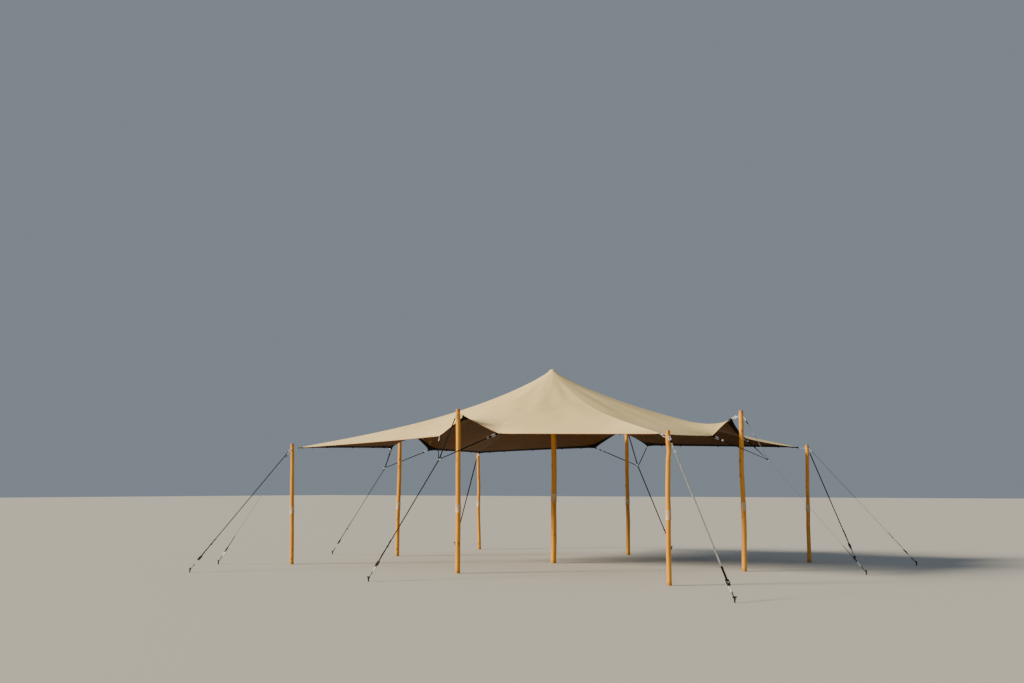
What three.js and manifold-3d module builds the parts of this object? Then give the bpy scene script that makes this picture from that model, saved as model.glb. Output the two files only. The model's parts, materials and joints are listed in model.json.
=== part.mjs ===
// Stretch tent: a fabric canopy on nine round wood poles, pulled taut by ten strap guys.
// Millimetres, +Z up. The origin is the foot of the centre pole, on the ground.
// +X runs along the long front and back sides, +Y along the short left and right sides.

import * as THREE from 'three';
import { mergeVertices } from 'three/addons/utils/BufferGeometryUtils.js';
import Module from 'manifold-3d';

const wasm = await Module();
wasm.setup();

const UP = new THREE.Vector3(0, 0, 1);
const GAP = 0.3;
const SAME_POINT = 1e-3;

// Poles
const CORNER_FOOT_RADIUS = 42;
const CORNER_TOP_RADIUS = 37;
const MIDDLE_FOOT_RADIUS = 47;
const MIDDLE_TOP_RADIUS = 42;
const CENTRE_FOOT_RADIUS = 60;
const CENTRE_TOP_RADIUS = 49;
const POLE_SIDES = 12;

// Each corner pole: its foot, the shift of its top from its foot, its height and the height of
// its hoop; the canopy's tip that it holds; and where its stakes stand
const CORNERS = {
  front_left: {
    foot: [-4190, -3270],
    lean: [-43, -34],
    height: 2430,
    hoop: 2320,
    tip: [-4106, -3200, 2351],
    stakes: [[-4160, -5850], [-5393, -4128]],
  },
  front_right: {
    foot: [4270, -3340],
    lean: [43, -34],
    height: 2450,
    hoop: 2350,
    tip: [4137, -3262, 2404],
    stakes: [[6154, -5196]],
  },
  back_right: {
    foot: [4270, 3190],
    lean: [26, 22],
    height: 2430,
    hoop: 2350,
    tip: [4112, 3069, 2378],
    stakes: [[6340, 3500], [4820, 4480]],
  },
  back_left: {
    foot: [-4240, 3250],
    lean: [-66, 18],
    height: 2430,
    hoop: 2350,
    tip: [-4168, 3130, 2413],
    stakes: [[-6000, 4550]],
  },
};

// Each middle pole: the same, with the canopy's side peak and the two lower points beside it, the
// way out from the tent, and how far out and how high its guy's ring hangs
const MIDDLES = {
  front: {
    foot: [0, -3250],
    lean: [0, -20],
    height: 2973,
    hoop: 2865,
    before: [-674, -2965, 2501],
    peak: [-15, -3065, 2855],
    after: [685, -2966, 2518],
    stakes: [[-146, -5485]],
    outward: [0, -1],
    ring: [563, 2042],
  },
  right: {
    foot: [4110, 110],
    lean: [20, 0],
    height: 2980,
    hoop: 2865,
    before: [3839, -564, 2480],
    peak: [3925, 117, 2844],
    after: [3870, 818, 2513],
    stakes: [[6220, 540]],
    outward: [1, 0],
    ring: [544, 2029],
  },
  back: {
    foot: [-40, 3310],
    lean: [-12, 12],
    height: 2960,
    hoop: 2865,
    before: [648, 3035, 2489],
    peak: [-40, 3114, 2869],
    after: [-734, 3020, 2471],
    stakes: [[-200, 5890]],
    outward: [0, 1],
    ring: [530, 2055],
  },
  left: {
    foot: [-4150, -40],
    lean: [18, 26],
    height: 2920,
    hoop: 2845,
    before: [-3815, 677, 2407],
    peak: [-3879, 12, 2825],
    after: [-3818, -685, 2417],
    stakes: [[-5810, -390]],
    outward: [-1, 0],
    ring: [400, 1985],
  },
};

// Joining sleeves: one on each pole, and the height of its middle
const SLEEVE_LENGTH = 160;
const SLEEVE_WALL = 5;
const SLEEVE_HEIGHTS = {
  centre: 1337,
  front_left: 1090,
  front_right: 1104,
  back_right: 1111,
  back_left: 1145,
  front: 1164,
  right: 1191,
  back: 1212,
  left: 1132,
};

// Canopy, and the cap under its peak
const CANOPY_TOP = 4000;
const CANOPY_THICKNESS = 8;
const CAP_HEIGHT = 77;
const CAP_LIP = 14;
const CAP_CHAMFER = 14;
const CAP_SETBACK = 2;
const CAP_BAND = 1;
const CAP_SIDES = 24;
const NUB = [[0, 0], [45, 9], [80, 42]];
const LONG_SCALLOP = 130;
const SHORT_SCALLOP = 12;
const LONG_STEPS = 6;
const SHORT_STEPS = 2;
const RINGS = 11;
const RING_CROWDING = 1.5;
const SETTLING_PASSES = 900;

// How the sheet is stretched: more slackly far from the centre pole, and a little less round than
// outwards; its rings are round near the pole and take on the edge's outline further out
const SPREAD_POWER = -0.78;
const HOOP_SHARE = 0.84;
const ROUND_REACH = 3400;
const ROUND_POWER = 3;

// Webbing tabs sewn to the canopy where it is pulled
const TAB_LENGTH = 55;
const TAB_ROOT = 60;
const TAB_WIDTH = 45;
const TAB_THICKNESS = 6;

// Guys: a steel hoop round the pole's top, a snap link, the strap, a ratchet, a hook and a strop
const HOOP_DEPTH = 14;
const HOOP_WALL = 6;
const HOOP_BITE = 2.5;
const HOOP_STEP = 30;
const STROP_LOOP_DEPTH = 24;
const STROP_LOOP_WALL = 5;
const STRAP_WIDTH = 26;
const STRAP_THICKNESS = 4;
const LINK_LENGTH = 90;
const LINK_WIDTH = 42;
const LINK_BAR = 5;
const LINK_SIDES = 5;
const LINK_STEPS = 10;
const RATCHET_LENGTH = 130;
const RATCHET_WIDTH = 52;
const RATCHET_THICKNESS = 36;
const STROP_LENGTH = 115;
const RING_RADIUS = 28;
const SHANK_LENGTH = 20;
const SHANK_WIDTH = 16;
const BRIDLE_WIDTH = 20;
const BLOCK_LENGTH = 26;
const BLOCK_WIDTH = 64;
const BLOCK_THICKNESS = 12;

// Ground stakes: a bar with a cross head, cut off at ground level
const STAKE_RADIUS = 13;
const STAKE_HEIGHT = 85;
const STAKE_LOOP_HEIGHT = 48;
const HEAD_RADIUS = 9;
const HEAD_LENGTH = 70;
const HEAD_SIDES = 6;

// Materials
const wood = new THREE.MeshStandardMaterial({ color: 0xb0662a, roughness: 0.4, metalness: 0 });
const sleeve = new THREE.MeshStandardMaterial({ color: 0xd8cdb8, roughness: 0.5, metalness: 0.1 });
const fabric = new THREE.MeshStandardMaterial({ color: 0xd0c09c, roughness: 0.85, metalness: 0 });
const webbing = new THREE.MeshStandardMaterial({ color: 0x34322e, roughness: 0.8, metalness: 0 });
const steel = new THREE.MeshStandardMaterial({ color: 0x3a3836, roughness: 0.6, metalness: 0.8 });
const plastic = new THREE.MeshStandardMaterial({ color: 0x22211f, roughness: 0.6, metalness: 0 });

// Shape helpers
function vector(plan, z) {
  return new THREE.Vector3(plan[0], plan[1], z);
}

// A closed mesh of shared corners, without flat triangles, and with its faces pointing out
function tidy(geometry) {
  const bare = geometry.clone();
  bare.deleteAttribute('normal');
  bare.deleteAttribute('uv');
  const merged = mergeVertices(bare, SAME_POINT);
  const at = merged.getAttribute('position');
  const index = merged.getIndex().array;
  const corner = (id) => new THREE.Vector3().fromBufferAttribute(at, id);
  const kept = [];
  let volume = 0;
  for (let i = 0; i < index.length; i += 3) {
    const [p, q, r] = index.subarray(i, i + 3);
    if (p === q || q === r || r === p) continue;
    kept.push(p, q, r);
    volume += corner(p).dot(corner(q).cross(corner(r)));
  }
  if (volume < 0) kept.reverse();
  merged.setIndex(kept);
  return merged;
}

function toSolid(geometry) {
  const clean = tidy(geometry);
  const vertProperties = new Float32Array(clean.getAttribute('position').array);
  const triVerts = new Uint32Array(clean.getIndex().array);
  return new wasm.Manifold(new wasm.Mesh({ numProp: 3, vertProperties, triVerts }));
}

function join(geometries) {
  const solid = geometries.map(toSolid).reduce((whole, next) => whole.add(next));
  const mesh = solid.getMesh();
  const geometry = new THREE.BufferGeometry();
  geometry.setAttribute('position', new THREE.BufferAttribute(mesh.vertProperties, 3));
  geometry.setIndex(new THREE.BufferAttribute(mesh.triVerts, 1));
  return geometry;
}

// Turns a shape so that its own X runs along a direction, with its Y kept level, and moves it
function laidAlong(geometry, at, direction) {
  const x = direction.clone().normalize();
  const y = new THREE.Vector3().crossVectors(UP, x).normalize();
  const z = new THREE.Vector3().crossVectors(x, y);
  const turn = new THREE.Matrix4().makeBasis(x, y, z).setPosition(at);
  return geometry.clone().applyMatrix4(turn);
}

// A flat bar from one point to another
function bar(from, to, width, thickness) {
  const run = to.clone().sub(from);
  const box = new THREE.BoxGeometry(run.length(), width, thickness);
  return laidAlong(box, from.clone().lerp(to, 0.5), run);
}

// An oblong closed link from one point to another
function link(from, to, width) {
  const run = to.clone().sub(from);
  const torus = new THREE.TorusGeometry(width / 2 - LINK_BAR, LINK_BAR, LINK_SIDES, LINK_STEPS);
  torus.scale(run.length() / width, 1, 1);
  return laidAlong(torus, from.clone().lerp(to, 0.5), run);
}

// The point on a level circle that faces a target
function facing(centre, radius, target) {
  const flat = target.clone().sub(centre).setZ(0).setLength(radius);
  return centre.clone().add(flat);
}

// A ring of square section round an axis
function hoop(centre, axis, innerRadius, wall, height) {
  const half = height / 2;
  const outerRadius = innerRadius + wall;
  const profile = [
    [innerRadius, -half],
    [outerRadius, -half],
    [outerRadius, half],
    [innerRadius, half],
    [innerRadius, -half],
  ].map(([r, y]) => new THREE.Vector2(r, y));
  const lathe = new THREE.LatheGeometry(profile, POLE_SIDES);
  const turn = new THREE.Quaternion().setFromUnitVectors(new THREE.Vector3(0, 1, 0), axis);
  return lathe.applyQuaternion(turn).translate(centre.x, centre.y, centre.z);
}

// Poles and sleeves
function makePole(kind) {
  const { foot, height, lean = [0, 0], footRadius, topRadius } = kind;
  const top = vector(foot, height).add(vector(lean, 0));
  const axis = top.clone().sub(vector(foot, 0)).normalize();
  return {
    axis,
    at: (z) => vector(foot, 0).lerp(top, z / height),
    radius: (z) => THREE.MathUtils.lerp(footRadius, topRadius, z / height),
    height,
  };
}

// A straight tapered pole with level ends; its rings have a corner on the same sides as a hoop's
function poleGeometry(pole) {
  const { height } = pole;
  const cylinder = new THREE.CylinderGeometry(pole.radius(height), pole.radius(0), height, POLE_SIDES);
  cylinder.rotateX(Math.PI / 2).translate(0, 0, height / 2);
  const foot = pole.at(0);
  const lean = pole.at(height).sub(foot).divideScalar(height);
  const x = new THREE.Vector3(1, 0, 0);
  const y = new THREE.Vector3(0, 1, 0);
  const shear = new THREE.Matrix4().makeBasis(x, y, lean);
  return cylinder.applyMatrix4(shear.setPosition(foot));
}

function hoopRound(pole, z, wall, height) {
  return hoop(pole.at(z), pole.axis, pole.radius(z - height / 2) + GAP, wall, height);
}

// Canopy: the pulled points of its edge, going round from the front left corner
function pulledPoints() {
  const point = (place) => new THREE.Vector3(...place);
  return {
    tips: Object.values(CORNERS).map(({ tip }) => point(tip)),
    sides: Object.values(MIDDLES).map(({ before, peak, after }) => (
      { before: point(before), peak: point(peak), after: point(after) }
    )),
  };
}

// The edge between two pulled points bows inwards
function edgeRun(from, to, steps, scallop) {
  const run = to.clone().sub(from);
  const inward = new THREE.Vector3(-run.y, run.x, 0).normalize();
  return Array.from({ length: steps }, (_, i) => {
    const t = i / steps;
    return from.clone().lerp(to, t).addScaledVector(inward, scallop * 4 * t * (1 - t));
  });
}

function canopyEdge({ tips, sides }) {
  return sides.flatMap(({ before, peak, after }, i) => [
    ...edgeRun(tips[i], before, LONG_STEPS, LONG_SCALLOP),
    ...edgeRun(before, peak, SHORT_STEPS, SHORT_SCALLOP),
    ...edgeRun(peak, after, SHORT_STEPS, SHORT_SCALLOP),
    ...edgeRun(after, tips[(i + 1) % tips.length], LONG_STEPS, LONG_SCALLOP),
  ]);
}

// Rings of points from the nub's rim to the edge, settled as a membrane under tension:
// each free point comes to rest at the tension-weighted mean height of its four neighbours
function canopyRings(edge) {
  const [nubRadius, nubDrop] = NUB[NUB.length - 1];
  const around = edge.length;
  const rings = Array.from({ length: RINGS + 1 }, (_, ring) => edge.map((rim) => {
    const share = (ring / RINGS) ** RING_CROWDING;
    const edgeReach = Math.hypot(rim.x, rim.y);
    const ringReach = THREE.MathUtils.lerp(ROUND_REACH, edgeReach, share ** ROUND_POWER);
    const radius = THREE.MathUtils.lerp(nubRadius, ringReach, share);
    const height = THREE.MathUtils.lerp(CANOPY_TOP - nubDrop, rim.z, share);
    return new THREE.Vector3(rim.x, rim.y, 0).setLength(radius).setZ(height);
  }));
  const at = (ring, i) => rings[Math.min(Math.max(ring, 0), RINGS)][(i + around) % around];
  const reach = (a, b) => Math.hypot(a.x - b.x, a.y - b.y);
  const width = (ring, i) => reach(at(ring, i - 1), at(ring, i + 1)) / 2;
  const depth = (ring, i) => reach(at(ring - 1, i), at(ring + 1, i)) / 2;
  const tension = (a, b) => {
    const radius = Math.hypot(a.x + b.x, a.y + b.y) / 2;
    return radius ** SPREAD_POWER / reach(a, b);
  };
  const free = [];
  for (let ring = 1; ring < RINGS; ring += 1) {
    for (let i = 0; i < around; i += 1) {
      const pulls = [];
      for (const next of [ring - 1, ring + 1]) {
        const across = (width(ring, i) + width(next, i)) / 2;
        pulls.push([at(next, i), across * tension(at(ring, i), at(next, i))]);
      }
      for (const next of [i - 1, i + 1]) {
        const across = (depth(ring, i) + depth(ring, next)) / 2;
        pulls.push([at(ring, next), HOOP_SHARE * across * tension(at(ring, i), at(ring, next))]);
      }
      free.push({ point: at(ring, i), pulls });
    }
  }
  for (let pass = 0; pass < SETTLING_PASSES; pass += 1) {
    for (const { point, pulls } of free) {
      const total = pulls.reduce((sum, [, weight]) => sum + weight, 0);
      point.z = pulls.reduce((sum, [other, weight]) => sum + other.z * weight, 0) / total;
    }
  }
  return rings;
}

// A closed sheet: the settled surface, the same surface one thickness lower, and the edge between
function canopySheet(edge) {
  const around = edge.length;
  const nub = NUB.slice(1, -1).map(([radius, drop]) => edge.map((rim) => (
    new THREE.Vector3(rim.x, rim.y, 0).setLength(radius).setZ(CANOPY_TOP - drop)
  )));
  const rings = [...nub, ...canopyRings(edge)];
  const top = [new THREE.Vector3(0, 0, CANOPY_TOP), ...rings.flat()];
  const positions = [];
  for (const drop of [0, CANOPY_THICKNESS]) {
    for (const point of top) positions.push(point.x, point.y, point.z - drop);
  }
  const index = [];
  const under = top.length;
  const id = (ring, i) => 1 + ring * around + (i % around);
  for (let i = 0; i < around; i += 1) {
    index.push(0, id(0, i), id(0, i + 1));
    index.push(under, under + id(0, i + 1), under + id(0, i));
    for (let ring = 0; ring + 1 < rings.length; ring += 1) {
      const [a, b, c, d] = [id(ring, i), id(ring + 1, i), id(ring + 1, i + 1), id(ring, i + 1)];
      index.push(a, b, c, a, c, d);
      index.push(under + a, under + c, under + b, under + a, under + d, under + c);
    }
    const [a, b] = [id(rings.length - 1, i), id(rings.length - 1, i + 1)];
    index.push(a, under + a, b, b, under + a, under + b);
  }
  const geometry = new THREE.BufferGeometry();
  geometry.setAttribute('position', new THREE.Float32BufferAttribute(positions, 3));
  geometry.setIndex(index);
  return geometry;
}

// A tab points from the canopy's edge to what pulls it, and ends in a flat face
function tabMiddle(point) {
  return point.clone().addScaledVector(UP, -CANOPY_THICKNESS / 2);
}

function tabGeometry(point, towards) {
  const direction = towards.clone().sub(point).normalize();
  const root = tabMiddle(point).addScaledVector(direction, -TAB_ROOT);
  return bar(root, tabMiddle(point).addScaledVector(direction, TAB_LENGTH), TAB_WIDTH, TAB_THICKNESS);
}

// The link between a tab and what pulls it, starting one gap beyond the tab's flat end
function linkFromTab(point, towards) {
  const direction = towards.clone().sub(point).normalize();
  const onRun = (distance) => tabMiddle(point).addScaledVector(direction, distance);
  const [from, to] = [onRun(TAB_LENGTH + GAP), onRun(TAB_LENGTH + SHANK_LENGTH)];
  const shank = bar(from, to, SHANK_WIDTH, STRAP_THICKNESS);
  return { shank, direction, linkStart: onRun(TAB_LENGTH + SHANK_LENGTH - LINK_BAR) };
}

// Guys
function ringPoint(spec) {
  const [out, height] = spec.ring;
  return vector(spec.foot, height).addScaledVector(vector(spec.outward, 0), out);
}

// The straight run from a point to a stake: strap, ratchet, hook, strop and the loop on the stake
function runToStake(from, stake) {
  const stakeLoop = vector(stake, STAKE_LOOP_HEIGHT);
  const end = facing(stakeLoop, STAKE_RADIUS + STROP_LOOP_WALL, from);
  const direction = end.clone().sub(from).normalize();
  const beforeEnd = (distance) => end.clone().addScaledVector(direction, -distance);
  const hookLow = beforeEnd(STROP_LENGTH);
  const ratchetLow = beforeEnd(STROP_LENGTH + LINK_LENGTH);
  const ratchetHigh = beforeEnd(STROP_LENGTH + LINK_LENGTH + RATCHET_LENGTH);
  return [
    bar(from, beforeEnd(STROP_LENGTH + LINK_LENGTH + RATCHET_LENGTH / 2), STRAP_WIDTH, STRAP_THICKNESS),
    bar(ratchetHigh, ratchetLow, RATCHET_WIDTH, RATCHET_THICKNESS),
    link(beforeEnd(STROP_LENGTH + LINK_LENGTH + LINK_BAR), hookLow, LINK_WIDTH),
    bar(beforeEnd(STROP_LENGTH + LINK_BAR), end, STRAP_WIDTH, STRAP_THICKNESS),
    hoop(stakeLoop, UP, STAKE_RADIUS + GAP, STROP_LOOP_WALL, STROP_LOOP_DEPTH),
  ];
}

// The side of a pole's hoop that faces a target
function hoopRim(pole, z, target) {
  return facing(pole.at(z), pole.radius(z) + HOOP_WALL - HOOP_BITE, target);
}

// From the hoop round a pole: a snap link, then its strap
function fromPole(pole, z, target) {
  const start = hoopRim(pole, z, target);
  const direction = target.clone().sub(start).normalize();
  const linkEnd = start.clone().addScaledVector(direction, LINK_LENGTH);
  return {
    parts: [hoopRound(pole, z, HOOP_WALL, HOOP_DEPTH), link(start, linkEnd, LINK_WIDTH)],
    strapStart: linkEnd.addScaledVector(direction, -2 * LINK_BAR),
  };
}

// From the hoop round a pole to the canopy's tab
function towardsCanopy(pole, z, point) {
  const rim = hoopRim(pole, z, point);
  const { shank, linkStart } = linkFromTab(point, rim);
  return [shank, link(linkStart, rim, LINK_WIDTH)];
}

function cornerGuy(pole, spec, count, canopyPoint) {
  const z = spec.hoop - count * HOOP_STEP;
  const { parts, strapStart } = fromPole(pole, z, vector(spec.stakes[count], STAKE_LOOP_HEIGHT));
  const inner = count === 0 ? towardsCanopy(pole, z, canopyPoint) : [];
  return join([...parts, ...inner, ...runToStake(strapStart, spec.stakes[count])]);
}

function middleGuy(pole, spec, canopyPoint) {
  const ring = ringPoint(spec);
  const { parts, strapStart } = fromPole(pole, spec.hoop, ring);
  const down = vector(spec.stakes[0], STAKE_LOOP_HEIGHT).sub(ring).normalize();
  const up = strapStart.clone().sub(ring).normalize();
  return join([
    ...parts,
    ...towardsCanopy(pole, spec.hoop, canopyPoint),
    bar(strapStart, ring.clone().addScaledVector(up, RING_RADIUS - LINK_BAR), STRAP_WIDTH, STRAP_THICKNESS),
    link(
      ring.clone().addScaledVector(down, -RING_RADIUS),
      ring.clone().addScaledVector(down, RING_RADIUS),
      2 * RING_RADIUS,
    ),
    ...runToStake(ring.clone().addScaledVector(down, RING_RADIUS - LINK_BAR), spec.stakes[0]),
  ]);
}

// Two side straps from a middle guy's ring to the canopy, meeting in a sewn block behind the ring
function bridleMeeting(spec) {
  const ring = ringPoint(spec);
  const down = vector(spec.stakes[0], STAKE_LOOP_HEIGHT).sub(ring).normalize();
  const side = new THREE.Vector3().crossVectors(UP, down).normalize();
  const behind = new THREE.Vector3().crossVectors(side, down).normalize();
  if (behind.dot(vector(spec.outward, 0)) > 0) behind.negate();
  const centre = ring.clone().addScaledVector(behind, LINK_BAR + GAP + BLOCK_THICKNESS / 2);
  return { centre, down };
}

function bridle(spec, flanks) {
  const { centre, down } = bridleMeeting(spec);
  const block = laidAlong(new THREE.BoxGeometry(BLOCK_LENGTH, BLOCK_WIDTH, BLOCK_THICKNESS), centre, down);
  const parts = [block];
  for (const flank of flanks) {
    const { shank, direction, linkStart } = linkFromTab(flank, centre);
    const linkEnd = linkStart.clone().addScaledVector(direction, LINK_LENGTH);
    const strapStart = linkEnd.clone().addScaledVector(direction, -2 * LINK_BAR);
    parts.push(shank, link(linkStart, linkEnd, LINK_WIDTH));
    const strapEnd = centre.clone().addScaledVector(direction, -BLOCK_THICKNESS);
    parts.push(bar(strapStart, strapEnd, BRIDLE_WIDTH, STRAP_THICKNESS));
  }
  return join(parts);
}

// Stakes
function stakeGeometry(foot) {
  const shaft = new THREE.CylinderGeometry(STAKE_RADIUS, STAKE_RADIUS, STAKE_HEIGHT, POLE_SIDES);
  shaft.rotateX(Math.PI / 2).translate(foot[0], foot[1], STAKE_HEIGHT / 2);
  const head = new THREE.CylinderGeometry(HEAD_RADIUS, HEAD_RADIUS, HEAD_LENGTH, HEAD_SIDES);
  head.rotateZ(Math.PI / 2).rotateZ(Math.atan2(foot[1], foot[0]) + Math.PI / 2);
  head.translate(foot[0], foot[1], STAKE_HEIGHT - HEAD_RADIUS);
  return join([shaft, head]);
}

// Assembly
const tent = new THREE.Group();

function add(name, geometry, material) {
  const mesh = new THREE.Mesh(tidy(geometry), material.clone());
  mesh.name = name;
  tent.add(mesh);
}

const centrePole = makePole({
  foot: [0, 0],
  height: CANOPY_TOP - CANOPY_THICKNESS - CAP_HEIGHT,
  footRadius: CENTRE_FOOT_RADIUS,
  topRadius: CENTRE_TOP_RADIUS,
});
const cornerRadii = { footRadius: CORNER_FOOT_RADIUS, topRadius: CORNER_TOP_RADIUS };
const middleRadii = { footRadius: MIDDLE_FOOT_RADIUS, topRadius: MIDDLE_TOP_RADIUS };
const poles = { centre: centrePole };
for (const [name, spec] of Object.entries(CORNERS)) poles[name] = makePole({ ...spec, ...cornerRadii });
for (const [name, spec] of Object.entries(MIDDLES)) poles[name] = makePole({ ...spec, ...middleRadii });

for (const [name, pole] of Object.entries(poles)) {
  add(`pole_${name}`, poleGeometry(pole), wood);
  add(`sleeve_${name}`, hoopRound(pole, SLEEVE_HEIGHTS[name], SLEEVE_WALL, SLEEVE_LENGTH), sleeve);
}

const points = pulledPoints();
const cornerNames = Object.keys(CORNERS);
const middleNames = Object.keys(MIDDLES);
const tabs = points.tips.map((tip, i) => {
  const name = cornerNames[i];
  return tabGeometry(tip, hoopRim(poles[name], CORNERS[name].hoop, tip));
});
points.sides.forEach(({ before, peak, after }, i) => {
  const name = middleNames[i];
  const meeting = bridleMeeting(MIDDLES[name]).centre;
  tabs.push(tabGeometry(peak, hoopRim(poles[name], MIDDLES[name].hoop, peak)));
  tabs.push(tabGeometry(before, meeting), tabGeometry(after, meeting));
});
add('canopy', join([canopySheet(canopyEdge(points)), ...tabs]), fabric);

// Cap on the centre pole: a dome that follows the canopy's underside
function capGeometry() {
  const dome = CANOPY_TOP - CANOPY_THICKNESS - 2 * GAP;
  const base = centrePole.height + GAP;
  const [, [shoulder, shoulderDrop], [rim, rimDrop]] = NUB;
  const side = rim - CAP_SETBACK;
  const profile = [
    [0, base],
    [CENTRE_TOP_RADIUS + CAP_LIP, base],
    [side, dome - rimDrop - CAP_CHAMFER],
    [side, dome - rimDrop - CAP_BAND],
    [shoulder, dome - shoulderDrop],
    [0, dome],
  ].map(([r, z]) => new THREE.Vector2(r, z));
  return new THREE.LatheGeometry(profile, CAP_SIDES).rotateX(Math.PI / 2);
}

add('cap_centre', capGeometry(), plastic);

cornerNames.forEach((name, corner) => {
  const spec = CORNERS[name];
  spec.stakes.forEach((stake, count) => {
    const suffix = spec.stakes.length > 1 ? `_${count + 1}` : '';
    add(`guy_${name}${suffix}`, cornerGuy(poles[name], spec, count, points.tips[corner]), webbing);
    add(`stake_${name}${suffix}`, stakeGeometry(stake), steel);
  });
});
middleNames.forEach((name, i) => {
  const { before, peak, after } = points.sides[i];
  add(`guy_${name}`, middleGuy(poles[name], MIDDLES[name], peak), webbing);
  add(`bridle_${name}`, bridle(MIDDLES[name], [before, after]), webbing);
  add(`stake_${name}`, stakeGeometry(MIDDLES[name].stakes[0]), steel);
});

export default tent;
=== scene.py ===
"""A stretch tent: a fabric canopy on nine round wood poles, held taut by strap guys and stakes.

Metres, +Z up, with the origin at the foot of the centre pole. +X runs along the long front and
back sides. Feet, stakes and heights come from the frame, and the rest from the sizes below.
"""

import json
import math

import bpy
import numpy as np
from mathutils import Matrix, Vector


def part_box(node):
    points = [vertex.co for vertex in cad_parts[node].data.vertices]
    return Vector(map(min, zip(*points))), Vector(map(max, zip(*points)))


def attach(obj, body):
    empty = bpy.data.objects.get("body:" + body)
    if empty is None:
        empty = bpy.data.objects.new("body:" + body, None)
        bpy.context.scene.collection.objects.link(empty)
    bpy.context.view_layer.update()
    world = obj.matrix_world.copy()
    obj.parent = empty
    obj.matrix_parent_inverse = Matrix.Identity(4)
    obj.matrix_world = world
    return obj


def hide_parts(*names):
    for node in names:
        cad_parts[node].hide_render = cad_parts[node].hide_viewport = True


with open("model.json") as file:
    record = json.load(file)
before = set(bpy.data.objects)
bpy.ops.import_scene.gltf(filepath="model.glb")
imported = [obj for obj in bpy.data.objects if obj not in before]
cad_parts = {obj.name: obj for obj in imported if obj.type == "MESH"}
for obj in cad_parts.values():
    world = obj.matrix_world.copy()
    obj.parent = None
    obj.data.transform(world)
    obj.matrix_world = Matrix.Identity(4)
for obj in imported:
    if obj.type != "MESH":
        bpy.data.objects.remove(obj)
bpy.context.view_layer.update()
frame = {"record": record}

UP = np.array([0.0, 0.0, 1.0])
OFF_AXIS = np.array([0.31, 0.95, 0.07])
FULL_TURN = 2 * math.pi


def named_points(**places):
    return {name: np.array(place) for name, place in places.items()}


# Poles: how far each top is shifted from its foot, the radii at foot and top, and the eyes' heights
CORNERS = {
    "front_left": (-0.043, -0.034),
    "front_right": (0.043, -0.034),
    "back_right": (0.026, 0.022),
    "back_left": (-0.066, 0.018),
}
MIDDLES = {
    "front": (0.0, -0.020),
    "right": (0.020, 0.0),
    "back": (-0.012, 0.012),
    "left": (0.018, 0.026),
}
CORNER_RADII = (0.042, 0.037)
MIDDLE_RADII = (0.047, 0.042)
CENTRE_RADII = (0.060, 0.049)
EYE_HEIGHTS = {
    **dict.fromkeys(CORNERS, 2.350),
    **dict.fromkeys(MIDDLES, 2.865),
    "front_left": 2.320,
    "left": 2.845,
}

# Canopy: its height and thickness, the radii and drops of the nub over the cap, and its pulled points
CANOPY_TOP = 4.0
CLOTH = 0.003
NUB = (
    (0.012, 0.0005), (0.024, 0.0021), (0.036, 0.0056), (0.046, 0.0118),
    (0.057, 0.0222), (0.069, 0.0370), (0.080, 0.0520),
)
TIPS = named_points(
    front_left=(-4.106, -3.200, 2.351),
    front_right=(4.137, -3.262, 2.404),
    back_right=(4.112, 3.069, 2.378),
    back_left=(-4.168, 3.130, 2.413),
)
PEAKS = named_points(
    front=(-0.015, -3.065, 2.855),
    right=(3.925, 0.117, 2.844),
    back=(-0.040, 3.114, 2.869),
    left=(-3.879, 0.012, 2.825),
)
FLANKS = named_points(
    front=((-0.674, -2.965, 2.501), (0.685, -2.966, 2.518)),
    right=((3.839, -0.564, 2.480), (3.870, 0.818, 2.513)),
    back=((0.648, 3.035, 2.489), (-0.734, 3.020, 2.471)),
    left=((-3.815, 0.677, 2.407), (-3.818, -0.685, 2.417)),
)
PULLS = []
for corner, middle in zip(TIPS, MIDDLES):
    PULLS += [TIPS[corner], FLANKS[middle][0], PEAKS[middle], FLANKS[middle][1]]

# The edge's runs between the pulls: how many steps each has, and how far it bows inwards
LONG_RUN = (36, 0.130)
SHORT_RUN = (10, 0.012)
RUNS = 4 * (LONG_RUN, SHORT_RUN, SHORT_RUN, LONG_RUN)
STARTS = np.cumsum([0, *(steps for steps, bow in RUNS)])
CROWDING = 0.55

# The sheet's rings, how its tension falls off outwards and acts sideways, and how soon its rings
# change from circles into the outline of the edge
RINGS = 78
SPREAD_POWER = -0.78
SIDEWAYS_SHARE = 0.84
ROUND_REACH = 3.4
ROUND_POWER = 3

# Guys: where the rings of the middle ones hang, and the sizes and lengths of their parts. LIE is how
# far a strap's two layers lie from its run, in thicknesses.
RING_PLACES = named_points(
    front=(0.0, -3.813, 2.042),
    right=(4.654, 0.110, 2.029),
    back=(-0.040, 3.840, 2.055),
    left=(-4.550, -0.040, 1.985),
)
EYE_STEP = 0.030
STANDOFF = 0.006
HITCH_HEIGHT = 0.048
STAKE_RADIUS = 0.013
STAKE_TOP = 0.085
STROP = 0.115
HOOK = 0.095
RATCHET = 0.130
STRAP_WIDTH = 0.028
STRAP = 0.0026
LIE = 0.53
STRAP_LIE = LIE * STRAP
BRIDLE_WIDTH = 0.020
LINK_BAR = 0.0045
LINK_WIDTH = 0.048
RING_RADIUS = 0.0300
RING_BAR = 0.0055
TAB_REACH = 0.048
TAB_WIDTH = 0.034
TAB = 0.0024


def unit(vectors):
    vectors = np.asarray(vectors, float)
    return vectors / np.linalg.norm(vectors, axis=-1, keepdims=True)


def level_unit(vectors):
    """Unit vectors with the same bearing on level ground."""
    return unit(vectors * [1, 1, 0])


def mixed(low, high, share):
    return low + (high - low) * share


def distances(points, closed=False):
    """The distance from the first point to each one, along a line of points."""
    if closed:
        points = np.concatenate([points, points[:1]])
    steps = np.linalg.norm(np.diff(points, axis=0), axis=1)
    return np.concatenate([[0.0], np.cumsum(steps)])


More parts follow.
